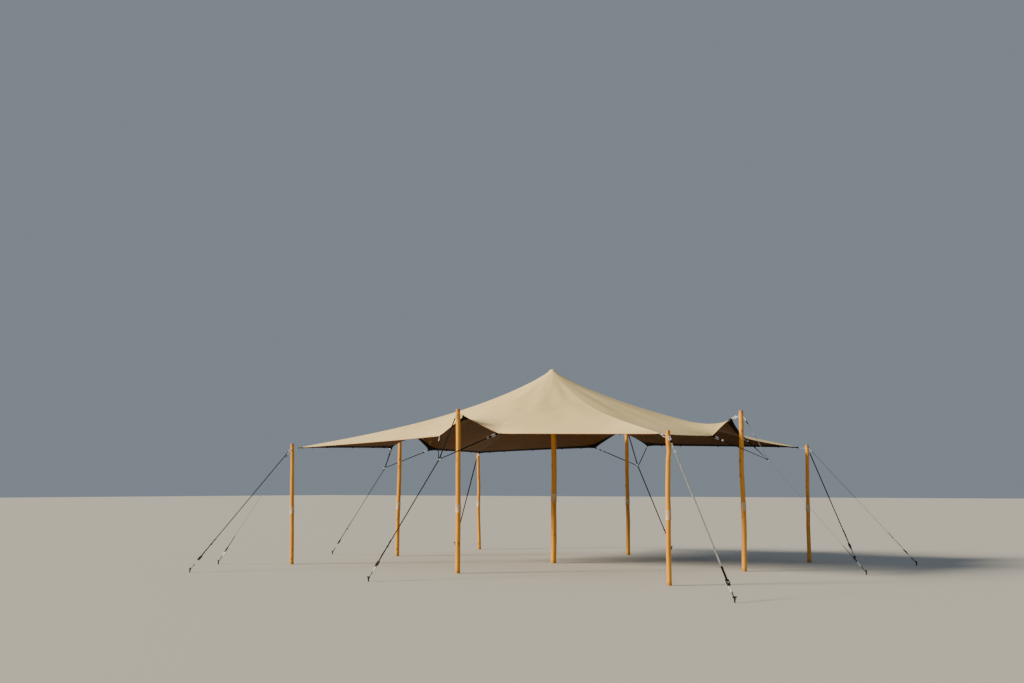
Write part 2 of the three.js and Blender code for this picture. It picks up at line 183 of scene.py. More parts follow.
def on_loop(points, marks):
    """The points at given lengths along a closed line."""
    lengths = distances(points, closed=True)
    closed = np.concatenate([points, points[:1]])
    marks = np.asarray(marks) % lengths[-1]
    return np.stack([np.interp(marks, lengths, closed[:, axis]) for axis in range(3)], -1)


def add_object(name, data):
    made = bpy.data.objects.new(name, data)
    bpy.context.scene.collection.objects.link(made)
    return made


class Shape:
    """The points and faces of one piece, with each face's finish and its place on cloth or grain."""

    def __init__(self):
        self.points, self.faces, self.places, self.finishes = [], [], [], []
        self.count = 0

    def add_points(self, points):
        """Adds points, and returns the number of the first one."""
        first = self.count
        self.points.append(points.reshape(-1, 3))
        self.count += len(self.points[-1])
        return first

    def faces_on(self, base, corners, places, finish):
        corners = np.asarray(corners)
        self.faces.append(corners + base)
        self.places.append(np.asarray(places, float).reshape(-1, 2))
        self.finishes.append(np.broadcast_to(finish, len(corners)))

    def grid(self, points, places, along=False, caps=False, finish=0):
        """A skin over rings of points. places has a column more, and a row more if along closes it."""
        rows, columns = points.shape[:2]
        row, column = np.indices((rows - (not along), columns)).reshape(2, -1, 1)
        row = row + np.array([0, 0, 1, 1])
        column = column + np.array([0, 1, 1, 0])
        corners = (row % rows) * columns + column % columns
        base = self.add_points(points)
        if np.ndim(finish):
            finish = np.asarray(finish)[row[:, 0]]
        self.faces_on(base, corners, places[row, column], finish)
        if caps:
            around = np.arange(columns)
            for end, order in ((0, around[::-1]), (rows - 1, around)):
                self.faces_on(base, [order + end * columns], places[end, order], finish)

    def sweep(self, path, section, side, closed=False, sizes=1.0, turn=0.0, finish=0):
        """A bar along a path. side is where the section's first axis points; turn twists the section."""
        path = np.asarray(path, float)
        if closed:
            ahead = unit(np.roll(path, -1, 0) - np.roll(path, 1, 0))
        else:
            ahead = unit(np.gradient(path, axis=0))
        side = np.broadcast_to(np.asarray(side, float), path.shape)
        side = unit(side - (side * ahead).sum(1, keepdims=True) * ahead)
        up = np.cross(ahead, side)
        turn = np.broadcast_to(turn, len(path))[:, None]
        first = side * np.cos(turn) + up * np.sin(turn)
        second = up * np.cos(turn) - side * np.sin(turn)
        sizes = np.broadcast_to(sizes, len(path))[:, None, None]
        spread = section[:, :1] * first[:, None] + section[:, 1:] * second[:, None]
        points = path[:, None] + sizes * spread
        around = distances(section, closed=True)
        along = distances(path, closed)
        places = np.stack(np.meshgrid(around, along), -1)
        self.grid(points, places, along=closed, caps=not closed, finish=finish)

    def lathe(self, profile, centre, sides, axis=UP, closed=False, finish=0):
        """A turned form. profile holds (radius, height) pairs, with the height growing outside."""
        profile = np.asarray(profile, float)
        first = unit(np.cross(axis, OFF_AXIS))
        rays = circle(1.0, sides) @ np.array([first, np.cross(axis, first)])
        points = centre + profile[:, :1, None] * rays + profile[:, 1:, None] * np.asarray(axis)
        girth = np.linspace(0, FULL_TURN * profile[:, 0].max(), sides + 1)
        places = np.stack(np.meshgrid(girth, distances(profile, closed)), -1)
        self.grid(points, places, along=closed, caps=not closed, finish=finish)

    def plate(self, outline, thickness, origin, x, y, bevel=0.0005):
        """A flat plate with eased arrises. The outline runs anticlockwise in the axes x and y."""
        outline = np.asarray(outline, float)
        edges = np.roll(outline, -1, 0) - np.roll(outline, 1, 0)
        inner = outline + bevel * unit(np.stack([-edges[:, 1], edges[:, 0]], 1))
        half = thickness / 2
        layers = ((inner, -half), (outline, bevel - half), (outline, half - bevel), (inner, half))
        points = np.array([origin + flat @ np.array([x, y]) + z * np.cross(x, y) for flat, z in layers])
        wrapped = np.concatenate([outline, outline[:1]])
        self.grid(points, np.array([wrapped] * 4), caps=True)

    def rod(self, start, end, radius, side, sides=12):
        """A round bar with eased ends."""
        ease = 0.25 * radius * unit(np.subtract(end, start))
        path = [start, start + ease, end - ease, end]
        self.sweep(path, circle(radius, sides), side, sizes=(0.75, 1, 1, 0.75))

    def piece(self, name, finishes, slot, replaces=(), smooth=38, fields=None):
        """Makes the mesh, which rides on the tent, and hides the frame's parts that it stands for."""
        mesh = bpy.data.meshes.new(name)
        points = np.concatenate(self.points)
        corners = np.concatenate([faces.ravel() for faces in self.faces])
        sizes = np.concatenate([np.full(len(faces), faces.shape[1]) for faces in self.faces])
        starts = np.concatenate([[0], np.cumsum(sizes)[:-1]])
        mesh.vertices.add(len(points))
        mesh.vertices.foreach_set("co", points.astype(np.float32).ravel())
        mesh.loops.add(len(corners))
        mesh.loops.foreach_set("vertex_index", corners.astype(np.int32))
        mesh.polygons.add(len(sizes))
        mesh.polygons.foreach_set("loop_start", starts.astype(np.int32))
        mesh.polygons.foreach_set("material_index", np.concatenate(self.finishes).astype(np.int32))
        places = mesh.uv_layers.new(name="lay")
        places.data.foreach_set("uv", np.concatenate(self.places).astype(np.float32).ravel())
        for field, pairs in (fields or {}).items():
            layer = mesh.uv_layers.new(name=field)
            layer.data.foreach_set("uv", pairs[corners].astype(np.float32).ravel())
        mesh.update(calc_edges=True)
        mesh.validate()
        mesh.shade_smooth()
        mesh.set_sharp_from_angle(angle=math.radians(smooth))
        for finish in finishes:
            mesh.materials.append(finish.material)
        made = add_object(name, mesh)
        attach(made, "root")
        if replaces:
            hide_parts(*replaces)
        return made


def circle(radius, sides):
    """Points round a circle, which serve as a round bar's section."""
    angle = np.arange(sides) / sides * FULL_TURN
    return radius * np.stack([np.cos(angle), np.sin(angle)], 1)


def ring(centre, radius, first, second, steps):
    """Points round a circle in the plane of two axes."""
    return centre + circle(radius, steps) @ np.array([first, second])


def flat_section(width, thickness, steps=4):
    """The section of a strap: flat, with round edges."""
    round_radius = thickness / 2
    angle = np.linspace(-math.pi / 2, math.pi / 2, steps)
    right = round_radius * np.stack([np.cos(angle), np.sin(angle)], 1) + [width / 2 - round_radius, 0]
    return np.concatenate([right, -right])


def filleted(corners, radius, steps):
    """A closed outline with its corners rounded to a radius."""
    corners = np.asarray(corners, float)
    outline = []
    for before, corner, after in zip(np.roll(corners, 1, 0), corners, np.roll(corners, -1, 0)):
        back, ahead = unit(before - corner), unit(after - corner)
        half = math.acos(np.clip(back @ ahead, -1, 1)) / 2
        centre = corner + unit(back + ahead) * radius / math.sin(half)
        start = corner + back * radius / math.tan(half) - centre
        end = corner + ahead * radius / math.tan(half) - centre
        sweep = math.atan2(start[0] * end[1] - start[1] * end[0], start @ end)
        for angle in np.linspace(0, sweep, steps):
            c, s = math.cos(angle), math.sin(angle)
            outline.append(centre + [c * start[0] - s * start[1], s * start[0] + c * start[1]])
    return np.array(outline)


def rounded_bar(low, high, half, radius, far_half=None, steps=6):
    """The outline of a bar from low to high, twice half wide, or twice far_half at its far end."""
    far = far_half or half
    return filleted([(low, -half), (high, -far), (high, far), (low, half)], radius, steps)


class Run:
    """A straight run between two points: x along it, y across it and z off its upper face.

    y is level, unless the run is turned about its own line.
    """

    def __init__(self, start, end, turn=0.0):
        self.start = np.asarray(start, float)
        self.length = float(np.linalg.norm(end - self.start))
        self.x = unit(end - self.start)
        self.level = unit(np.cross(UP, self.x))
        self.y = self.level * math.cos(turn) + np.cross(self.x, self.level) * math.sin(turn)
        self.z = np.cross(self.x, self.y)

    def at(self, x, y=0.0, z=0.0):
        return self.start + x * self.x + y * self.y + z * self.z

    def flat(self, outline, lift=0.0):
        """An outline in x and y, at a height off the run."""
        return self.start + outline @ np.array([self.x, self.y]) + lift * self.z

    def upright(self, outline):
        """An outline in x and z."""
        return self.start + outline @ np.array([self.x, self.z])


# Finishes
def srgb(red, green, blue):
    """A colour as it is seen on a screen, 0 to 255, turned into light."""
    share = np.array([red, green, blue]) / 255
    return tuple(np.where(share <= 0.04045, share / 12.92, ((share + 0.055) / 1.055) ** 2.4))


def operation(name, reflected=False):
    """A method that adds the Math node of a name, with the other value first if it is reflected."""

    def add(self, other=0.0):
        first, second = (other, self) if reflected else (self, other)
        return self.finish.node("ShaderNodeMath", {"operation": name}, {0: first, 1: second})

    return add


class Value:
    """A socket that takes part in sums: 1 - mask or grain * 0.5 adds the Math node that it needs."""

    def __init__(self, finish, socket):
        self.finish = finish
        self.socket = socket

    __add__ = operation("ADD")
    __radd__ = operation("ADD", reflected=True)
    __sub__ = operation("SUBTRACT")
    __rsub__ = operation("SUBTRACT", reflected=True)
    __mul__ = operation("MULTIPLY")
    __rmul__ = operation("MULTIPLY", reflected=True)
    __truediv__ = operation("DIVIDE")
    __pow__ = operation("POWER")
    __lt__ = operation("LESS_THAN")
    __abs__ = operation("ABSOLUTE")
    sin = operation("SINE")
    cos = operation("COSINE")
    repeat = operation("MODULO")
    at_least = operation("MAXIMUM")
    at_most = operation("MINIMUM")

    def held(self):
        """Kept between 0 and 1."""
        return self.at_least(0.0).at_most(1.0)


class Finish:
    """A material. Its values that are the same all over are set when it is made."""

    def __init__(self, name, **constants):
        self.material = bpy.data.materials.new(name)
        self.material.use_nodes = True
        self.tree = self.material.node_tree
        self.shader = self.tree.nodes["Principled BSDF"]
        for name, value in constants.items():
            socket = name.replace("_", " ").title().replace("Ior", "IOR")
            self.put(self.shader.inputs[socket], value)

    def put(self, socket, value):
        if isinstance(value, Value):
            self.tree.links.new(value.socket, socket)
        elif socket.type == "RGBA":
            socket.default_value = (*value, 1.0)
        else:
            socket.default_value = value

    def node(self, kind, settings=None, inputs=None, output=0):
        made = self.tree.nodes.new(kind)
        for name, value in (settings or {}).items():
            setattr(made, name, value)
        for name, value in (inputs or {}).items():
            self.put(made.inputs[name], value)
        return Value(self, made.outputs[output])

    def place(self):
        """Where a point is, in metres."""
        return self.node("ShaderNodeTexCoord", output=3)

    def stretched(self, x, y, z, at=None):
        inputs = {0: at or self.place(), 1: (x, y, z)}
        return self.node("ShaderNodeVectorMath", {"operation": "MULTIPLY"}, inputs)

    def lay(self, field="lay"):
        """The two places of a point on the cloth or grain."""
        pair = self.node("ShaderNodeUVMap", {"uv_map": field})
        return [self.node("ShaderNodeSeparateXYZ", None, {0: pair}, output) for output in (0, 1)]

    def vector(self, x, y, z=0.0):
        return self.node("ShaderNodeCombineXYZ", None, {0: x, 1: y, 2: z})

    def noise(self, scale, detail=3.0, roughness=0.5, at=None):
        inputs = {"Vector": at or self.place(), "Scale": scale, "Detail": detail, "Roughness": roughness}
        return self.node("ShaderNodeTexNoise", None, inputs)

    def ramp(self, value, low, high):
        """0 below low, 1 above high, and smooth between them."""
        inputs = {"Value": value, "From Min": low, "From Max": high}
        return self.node("ShaderNodeMapRange", {"interpolation_type": "SMOOTHSTEP"}, inputs)

    def mix(self, share, first, second):
        """From one colour to another. A plain colour is given as it is seen on a screen."""
        first, second = (srgb(*tone) if isinstance(tone, tuple) else tone for tone in (first, second))
        inputs = {0: share, 6: first, 7: second}
        return self.node("ShaderNodeMix", {"data_type": "RGBA"}, inputs, output=2)

    def tones(self, value, low, high, first, second):
        """From one colour to another as a value goes from low to high."""
        return self.mix(self.ramp(value, low, high), first, second)

    def stained(self, colour, *stains):
        """A colour with stains laid over it, each as its share and its own colour."""
        for share, stain in stains:
            colour = self.mix(share, colour, stain)
        return colour

    def feed(self, colour, roughness, height, distance, metallic=None):
        """Feeds what varies over the surface. distance is how far the height raises it."""
        self.put(self.shader.inputs["Base Color"], colour)
        self.put(self.shader.inputs["Roughness"], roughness)
        if metallic is not None:
            self.put(self.shader.inputs["Metallic"], metallic)
        bump = self.node("ShaderNodeBump", None, {"Height": height, "Distance": distance})
        self.put(self.shader.inputs["Normal"], bump)
        return self


STITCH_PITCH = 0.009
STITCH_ROWS = (0.008, 0.042)
STITCH_REACH = 0.0011
RIB_PITCH = 0.0032
WEFT_PITCH = 0.0019
GROWTH_RING = 0.0034


def canopy_cloth(name, pale, deep, grime):
    """Coated stretch cloth: a fine knit, soft mottling, and two rows of stitches along the hem."""
    cloth = Finish(name, sheen_weight=0.03, sheen_roughness=0.5, specular_ior_level=0.2)
    broad = cloth.noise(0.55, 4.0, 0.55)
    patchy = cloth.noise(3.2, 5.0, 0.6)
    grain = cloth.noise(260.0, 2.0, 0.6)
    knit = cloth.noise(1.0, 1.0, 0.5, cloth.stretched(420.0, 150.0, 150.0))
    along, inward = cloth.lay()
    near_edge = 1 - cloth.ramp(inward, 0.004, 0.050)
    stitches = 0.0
    for row in STITCH_ROWS:
        on_row = abs(inward - row) < STITCH_REACH
        on_stitch = abs((along / STITCH_PITCH).repeat(1.0) - 0.5) < 0.34
        stitches = on_row * on_stitch + stitches
    colour = cloth.stained(
        cloth.tones(broad, 0.32, 0.68, deep, pale),
        (cloth.ramp(patchy, 0.50, 0.78) * 0.30, grime),
        (grain * 0.22, deep),
        (near_edge * 0.25, grime),
        (stitches * 0.7, (96, 78, 52)),
    )
    roughness = 0.78 + 0.10 * (patchy - 0.5) + 0.06 * (grain - 0.5)
    height = knit * 0.35 + grain * 0.25 + patchy * 0.6 + stitches * 0.8
    return cloth.feed(colour, roughness, height, 0.0011)


def strap_cloth(name, pale, deep, fuzzy=0.2, gleam=0.5):
    """Woven webbing: ribs along the strap, a fine weft across it, and rubbed fuzz."""
    cloth = Finish(name, sheen_weight=fuzzy, sheen_roughness=0.45, specular_ior_level=gleam)
    around, along = cloth.lay()
    ribs = (around * (FULL_TURN / RIB_PITCH)).sin()
    weave = ribs * (along * (FULL_TURN / WEFT_PITCH)).sin()
    worn = cloth.noise(34.0, 4.0, 0.6)
    fuzz = cloth.noise(900.0, 2.0, 0.6)
    base = cloth.tones(worn, 0.35, 0.72, deep, pale)
    colour = cloth.mix((weave * 0.5 + 0.5) * 0.35, base, deep)
    height = weave * 0.5 + ribs * 0.3 + fuzz * 0.2
    return cloth.feed(colour, 0.72 + 0.16 * worn, height, 0.0005)


def bare_steel(name, pale, deep, polish):
    """Zinc-plated steel: cloudy plating, dull in places, and finely scratched."""
    steel = Finish(name, metallic=0.55)
    cloudy = steel.noise(60.0, 4.0, 0.6)
    scratches = steel.noise(1.0, 2.0, 0.5, steel.stretched(900.0, 120.0, 900.0))
    colour = steel.tones(cloudy, 0.35, 0.70, deep, pale)
    roughness = polish + 0.22 * cloudy + 0.10 * scratches
    return steel.feed(colour, roughness, cloudy * 0.5 + scratches * 0.2, 0.0003)


def blackened_steel():
    """Black-coated steel, worn through to grey metal on its high places."""
    steel = Finish("black_steel", specular_ior_level=0.25)
    cloudy = steel.noise(75.0, 5.0, 0.62)
    worn = steel.ramp(cloudy, 0.66, 0.76)
    coat = steel.mix(steel.noise(22.0), (12, 12, 13), (26, 26, 27))
    colour = steel.mix(worn, coat, (120, 118, 114))
    roughness = 0.48 - 0.12 * worn + 0.12 * cloudy
    return steel.feed(colour, roughness, cloudy, 0.0004, metallic=worn * 0.85)


def rusty_steel():
    """A forged stake: dark scale with rust, and soil near the ground."""
    steel = Finish("stake_steel", specular_ior_level=0.3)
    height = steel.node("ShaderNodeSeparateXYZ", None, {0: steel.place()}, output=2)
    scale = steel.noise(48.0, 6.0, 0.65)
    rust = steel.ramp(steel.noise(26.0, 5.0, 0.7), 0.46, 0.62)
    soil = 1 - steel.ramp(height + 0.02 * (scale - 0.5), 0.008, 0.040)
    colour = steel.stained(
        steel.mix(scale, (16, 15, 15), (38, 36, 35)),
        (rust * 0.35, (84, 44, 24)),
        (soil * 0.35, (84, 68, 48)),
    )
    metal = (0.85 - rust * 0.75 - soil * 0.75).held()
    roughness = (0.50 + 0.35 * rust + 0.30 * soil).held()
    return steel.feed(colour, roughness, scale * 0.8 + rust * 0.3, 0.0012, metallic=metal)


def varnished_wood():
    """A peeled round pole, stained honey and varnished: long grain, knots, and a darker top end."""
    wood = Finish("varnished_wood", coat_weight=0.18, coat_roughness=0.25, ior=1.5)
    turn, height = wood.lay()
    from_top, from_foot = wood.lay("ends")
    knot_around, knot_along = wood.lay("knot")
    far = (knot_around * knot_around + knot_along * knot_along * 0.45) ** 0.5
    heart = 1 - wood.ramp(far, 0.055, 0.105)
    halo = 1 - wood.ramp(far, 0.10, 0.34)
    swirl = halo * halo * 0.9
    angle = turn * FULL_TURN
    across = wood.vector(angle.cos() * 5.5 + swirl, angle.sin() * 5.5 - swirl, height * 0.75)
    grain = wood.noise(1.0, 5.0, 0.62, across)
    fine = wood.noise(1.0, 4.0, 0.6, wood.stretched(5.0, 5.0, 3.2, across))
    slow = wood.vector(angle.cos() * 0.8, angle.sin() * 0.8, height * 1.3)
    broad = wood.noise(1.0, 3.0, 0.5, slow)
    weathered = 1 - wood.ramp(from_top + 0.03 * (grain - 0.5), 0.010, 0.075)
    soiled = 1 - wood.ramp(from_foot + 0.06 * (fine - 0.5), 0.010, 0.090)
    colour = wood.stained(
        wood.tones(grain, 0.30, 0.70, (178, 106, 10), (240, 164, 30)),
        (wood.ramp(fine, 0.42, 0.75) * 0.45, (150, 82, 6)),
        (wood.ramp(broad, 0.35, 0.70) * 0.45, (250, 184, 40)),
        (halo * 0.35, (140, 76, 12)),
        (heart * 0.85, (60, 30, 8)),
        (weathered * 0.55, (112, 50, 16)),
        (soiled * 0.45, (92, 60, 30)),
    )
    relief = grain * 0.5 + fine * 0.35 - heart * 0.5
    return wood.feed(colour, 0.34 + 0.22 * fine, relief, 0.0009)


def end_grain():
    """The sawn end of a pole: growth rings round its heart."""
    wood = Finish("end_grain", coat_weight=0.2, coat_roughness=0.4)
    x, y = wood.lay()
    wobble = wood.noise(60.0, 3.0, 0.5, wood.vector(x, y))
    far = (x * x + y * y) ** 0.5 + wobble * 0.004
    rings = (far * (FULL_TURN / GROWTH_RING)).sin() * 0.5 + 0.5
    base = wood.mix(rings, (132, 66, 26), (96, 46, 20))
    colour = wood.mix(wobble * 0.5, base, (78, 38, 18))
    return wood.feed(colour, 0.55 + 0.2 * wobble, rings, 0.0003)


def sleeve_paint():
    """Cream paint on steel, scuffed in rings where the halves of the pole slide."""
    paint = Finish("sleeve_paint")
    scuffs = paint.noise(1.0, 3.0, 0.6, paint.stretched(22.0, 22.0, 340.0))
    cloudy = paint.noise(30.0, 4.0, 0.6)
    worn = paint.ramp(scuffs + cloudy * 0.35, 0.78, 0.90)
    # The cream paint is given tan tones: painted shade, warmed by bounce light
    base = paint.tones(cloudy, 0.35, 0.7, (198, 160, 112), (220, 184, 138))
    colour = paint.mix(worn * 0.6, base, (146, 108, 68))
    height = scuffs * 0.4 + cloudy * 0.3
    return paint.feed(colour, 0.34 + 0.20 * cloudy, height, 0.0004, metallic=worn * 0.5)


def moulded_rubber():
    """Black rubber, pebbled and dusty."""
    rubber = Finish("moulded_rubber")
    pebbled = rubber.noise(520.0, 3.0, 0.6)
    dusty = rubber.noise(18.0, 4.0, 0.6)
    colour = rubber.tones(dusty, 0.45, 0.75, (28, 27, 26), (58, 55, 50))
    return rubber.feed(colour, 0.62 + 0.2 * dusty, pebbled, 0.0003)


def laid_rope():
    """Brown laid rope, hairy and stained."""
    rope = Finish("laid_rope", sheen_weight=0.3, sheen_roughness=0.5)
    fibres = rope.noise(700.0, 3.0, 0.7)
    cloudy = rope.noise(28.0, 4.0, 0.6)
    base = rope.tones(cloudy, 0.35, 0.7, (46, 32, 26), (82, 58, 44))
    colour = rope.mix(fibres * 0.4, base, (36, 25, 19))
    return rope.feed(colour, 0.85, fibres, 0.0006)


def sewing_thread():
    """Dark grey thread, a little fuzzy."""
    thread = Finish("sewing_thread", sheen_weight=0.3)
    cloudy = thread.noise(1500.0, 2.0, 0.5)
    colour = thread.mix(cloudy, (44, 42, 39), (78, 75, 70))
    return thread.feed(colour, 0.6 + 0.2 * cloudy, cloudy, 0.0002)


sand_cloth = canopy_cloth("canopy_sand", (238, 214, 160), (222, 198, 142), (190, 166, 116))
# The underside is far darker than the tan cloth it is made of: painted shade under the canopy, warmed
# for the sunlight shining through
tan_cloth_painted_shade = canopy_cloth("canopy_underside", (92, 56, 4), (76, 46, 3), (58, 36, 6))
roll_cloth = strap_cloth("rolled_edge", (150, 84, 40), (104, 52, 22))
black_webbing = strap_cloth("black_webbing", (24, 23, 22), (10, 10, 10), 0.02, 0.06)
# Black webbing painted grey: a painted sheen of sun on the straps and the tab that catch it
webbing_painted_sheen = strap_cloth("webbing_painted_sheen", (186, 184, 180), (134, 132, 130))
# Plated steel made brighter and bluer than its own pale grey: a painted reflection of the sky
plated_steel_painted_sky = bare_steel("plated_steel_painted_sky", (246, 248, 252), (206, 212, 222), 0.16)
dull_steel = bare_steel("dull_steel", (150, 150, 150), (96, 96, 98), 0.38)
black_steel = blackened_steel()
stake_steel = rusty_steel()
pole_wood = varnished_wood()
pole_end = end_grain()
cream_paint_painted_shade = sleeve_paint()
rubber = moulded_rubber()
rope_brown = laid_rope()
thread = sewing_thread()


# Poles: their mesh, the slow bends, flutes and knots of a natural stem, and the eased ends, each as
# distances from the end with the share of the radius there
POLE_ROWS = 200
POLE_COLUMNS = 36
SWAY = (0.0070, 0.0050, 0.0035, 0.0022)
FLUTE = 0.00055
FLUTE_LOBES = (1, 2, 3, 5)
KNOTS_PER_METRE = 2.6
KNOT_REACH = 0.017
KNOT_RISE = 0.0017
KNOT_FIELD = 0.10
FOOT_EASE = np.array([(0, 0.965), (0.004, 0.99), (0.012, 1)])
TOP_EASE = np.array([(0.025, 0.985), (0.016, 0.955), (0.008, 0.90), (0.003, 0.83), (0, 0.75)])

# The bows and kinks that show in the poles, each to one side: its height, half its length, its size
BOW_SIDE = np.array([0.826, 0.564, 0.0])
BOWS = {
    "centre": [(0.60, 0.50, 0.014), (1.80, 0.90, 0.024)],
    "front_right": [(1.50, 0.30, -0.012), (2.12, 0.10, 0.014)],
    "back_right": [(0.65, 0.40, -0.013)],
    "back_left": [(1.55, 0.30, 0.010)],
    "front": [(1.20, 0.80, 0.007)],
    "right": [(0.75, 0.35, 0.009), (1.90, 0.40, -0.013)],
    "back": [(0.75, 0.35, 0.010), (1.80, 0.40, -0.008)],
    "left": [(1.60, 0.60, 0.011)],
}


class Pole:
    """A round pole that leans outwards, with the slow bends, flutes and knots of a natural stem."""

    def __init__(self, name, seed, radii, lean=(0.0, 0.0)):
        mounts = {mount["name"]: mount["pos_m"] for mount in frame["record"]["mounts"]}
        self.name = name
        self.foot = np.array(mounts[name + "_pole_foot"], float)
        self.lean = np.array([*lean, 0.0])
        self.radii = radii
        self.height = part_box("pole_" + name)[1].z
        self.random = np.random.default_rng(seed)
        self.sway_angles = self.random.uniform(0, FULL_TURN, len(SWAY))
        self.sway_sizes = self.random.uniform(0.4, 1.0, len(SWAY)) * SWAY

    def straight(self, z):
        share = np.asarray(z, float)[..., None] / self.height
        return self.foot + share * (self.lean + self.height * UP)

    def centre(self, z):
        z = np.asarray(z, float)
        bend = np.zeros((*z.shape, 3))
        for order, (angle, size) in enumerate(zip(self.sway_angles, self.sway_sizes), 1):
            wave = size * np.sin(order * math.pi * z / self.height)
            bend += wave[..., None] * [math.cos(angle), math.sin(angle), 0]
        for height, reach, size in BOWS.get(self.name, []):
            bend += (size * np.exp(-((z - height) / reach) ** 2))[..., None] * BOW_SIDE
        return self.straight(z) + bend

    def radius(self, z):
        return mixed(*self.radii, np.asarray(z, float) / self.height)

    def surface(self, angle, z):
        """The radius at every angle and height, and how far each point is from its nearest knot."""
        radius = np.broadcast_to(self.radius(z), angle.shape).copy()
        for lobes in FLUTE_LOBES:
            length = self.random.uniform(0.35, 1.3)
            phase = self.random.uniform(0, FULL_TURN)
            radius += FLUTE / lobes ** 0.5 * np.cos(lobes * angle + FULL_TURN * z / length + phase)
        nearest = np.full(angle.shape, np.inf)
        offset = np.full((*angle.shape, 2), 9.0)
        for _ in range(round(self.height * KNOTS_PER_METRE)):
            at, height = self.random.uniform(0, FULL_TURN), self.random.uniform(0.1, self.height - 0.1)
            size = self.random.uniform(0.75, 1.35)
            around = self.radius(height) * ((angle - at + math.pi) % FULL_TURN - math.pi)
            far = np.hypot(around, (z - height) * 0.6)
            radius += KNOT_RISE * size * np.exp(-((far / (KNOT_REACH * size)) ** 2))
            pair = np.stack([around, z - height], -1) / (KNOT_FIELD * size)
            offset = np.where((far < nearest)[..., None], pair, offset)
            nearest = np.minimum(far, nearest)
        return radius, offset

    def build(self):
        middle = np.linspace(0.03, self.height - 0.03, POLE_ROWS)
        z = np.concatenate([FOOT_EASE[:, 0], middle, self.height - TOP_EASE[:, 0]])
        eased = np.concatenate([FOOT_EASE[:, 1], np.ones(POLE_ROWS), TOP_EASE[:, 1]])
        angles, heights = np.meshgrid(np.arange(POLE_COLUMNS) / POLE_COLUMNS * FULL_TURN, z)
        radius, offset = self.surface(angles, heights)
        rays = np.stack([np.cos(angles), np.sin(angles), np.zeros_like(angles)], -1)
        out = (radius * eased[:, None])[..., None] * rays
        shape = Shape()
        places = np.stack(np.meshgrid(np.arange(POLE_COLUMNS + 1) / POLE_COLUMNS, z), -1)
        shape.grid(self.centre(z)[:, None] + out, places)
        for row, way in ((0, -1), (len(z) - 1, 1)):
            corners = row * POLE_COLUMNS + np.arange(POLE_COLUMNS)
            shape.faces_on(0, [corners[::way]], out[row, ::way, :2], 1)
        ends = np.stack([self.height - heights, heights], -1)
        fields = {"knot": offset.reshape(-1, 2), "ends": ends.reshape(-1, 2)}
        node = "pole_" + self.name
        shape.piece("wood_" + self.name, [pole_wood, pole_end], "pole_wood", [node], fields=fields)


POLES = {"centre": Pole("centre", 11, CENTRE_RADII)}
for seed, (name, lean) in enumerate(CORNERS.items(), 20):
    POLES[name] = Pole(name, seed, CORNER_RADII, lean)
for seed, (name, lean) in enumerate(MIDDLES.items(), 30):
    POLES[name] = Pole(name, seed, MIDDLE_RADII, lean)
for pole in POLES.values():
    pole.build()


# Sleeves: the wall, the rolled lips and the screws
SLEEVE_GAP = 0.0012
SLEEVE_WALL = 0.0045
SLEEVE_LIP = 0.0011
SCREW_INSET = 0.022
SCREW_SUNK = 0.0006
SCREW = ((0.0045, 0), (0.0045, 0.0010), (0.0036, 0.0022), (0.0015, 0.0028))


def build_sleeve(pole):
    """The tube that joins the halves of a pole, with rolled lips and two screws."""
    low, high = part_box("sleeve_" + pole.name)
    middle, half = (low.z + high.z) / 2, (high.z - low.z) / 2
    inner = float(pole.radius(middle)) + SLEEVE_GAP
    outer = inner + SLEEVE_WALL
    lip = outer + SLEEVE_LIP
    rolled = [(inner, 0), (outer, 0), (lip, 0.0016), (lip, 0.0052), (outer, 0.0075)]
    profile = [(radius, rise - half) for radius, rise in rolled]
    profile += [(radius, half - rise) for radius, rise in rolled[::-1]]
    shape = Shape()
    centre = pole.centre(middle)
    axis = unit(pole.centre(middle + half) - pole.centre(middle - half))
    shape.lathe(profile, centre, 48, axis, closed=True)
    turn = pole.random.uniform(0, FULL_TURN)
    for sign in (-1, 1):
        out = np.array([math.cos(turn + sign), math.sin(turn + sign), 0.0])
        head = centre + axis * sign * (half - SCREW_INSET) + out * (outer - SCREW_SUNK)
        shape.lathe(SCREW, head, 16, out, finish=1)
    node = "sleeve_" + pole.name
    shape.piece("tube_" + pole.name, [cream_paint_painted_shade, plated_steel_painted_sky], "sleeve_metal", [node])


for pole in POLES.values():
    build_sleeve(pole)


# Canopy
def edge_run(start, end, steps, bow):
    """Points of the edge from one pull to the next, closer together at the pulls."""
    share = np.arange(steps) / steps
    share = (share - CROWDING * np.sin(FULL_TURN * share) / FULL_TURN)[:, None]
    run = end - start
    inward = unit([-run[1], run[0], 0.0])
    return start + share * run + 4 * share * (1 - share) * bow * inward


def canopy_rim():
    after = PULLS[1:] + PULLS[:1]
    return np.concatenate([edge_run(*ends, *run) for *ends, run in zip(PULLS, after, RUNS)])


def tension(radius):
    """How hard the cloth pulls outwards at a distance from the centre pole."""
    return radius ** SPREAD_POWER


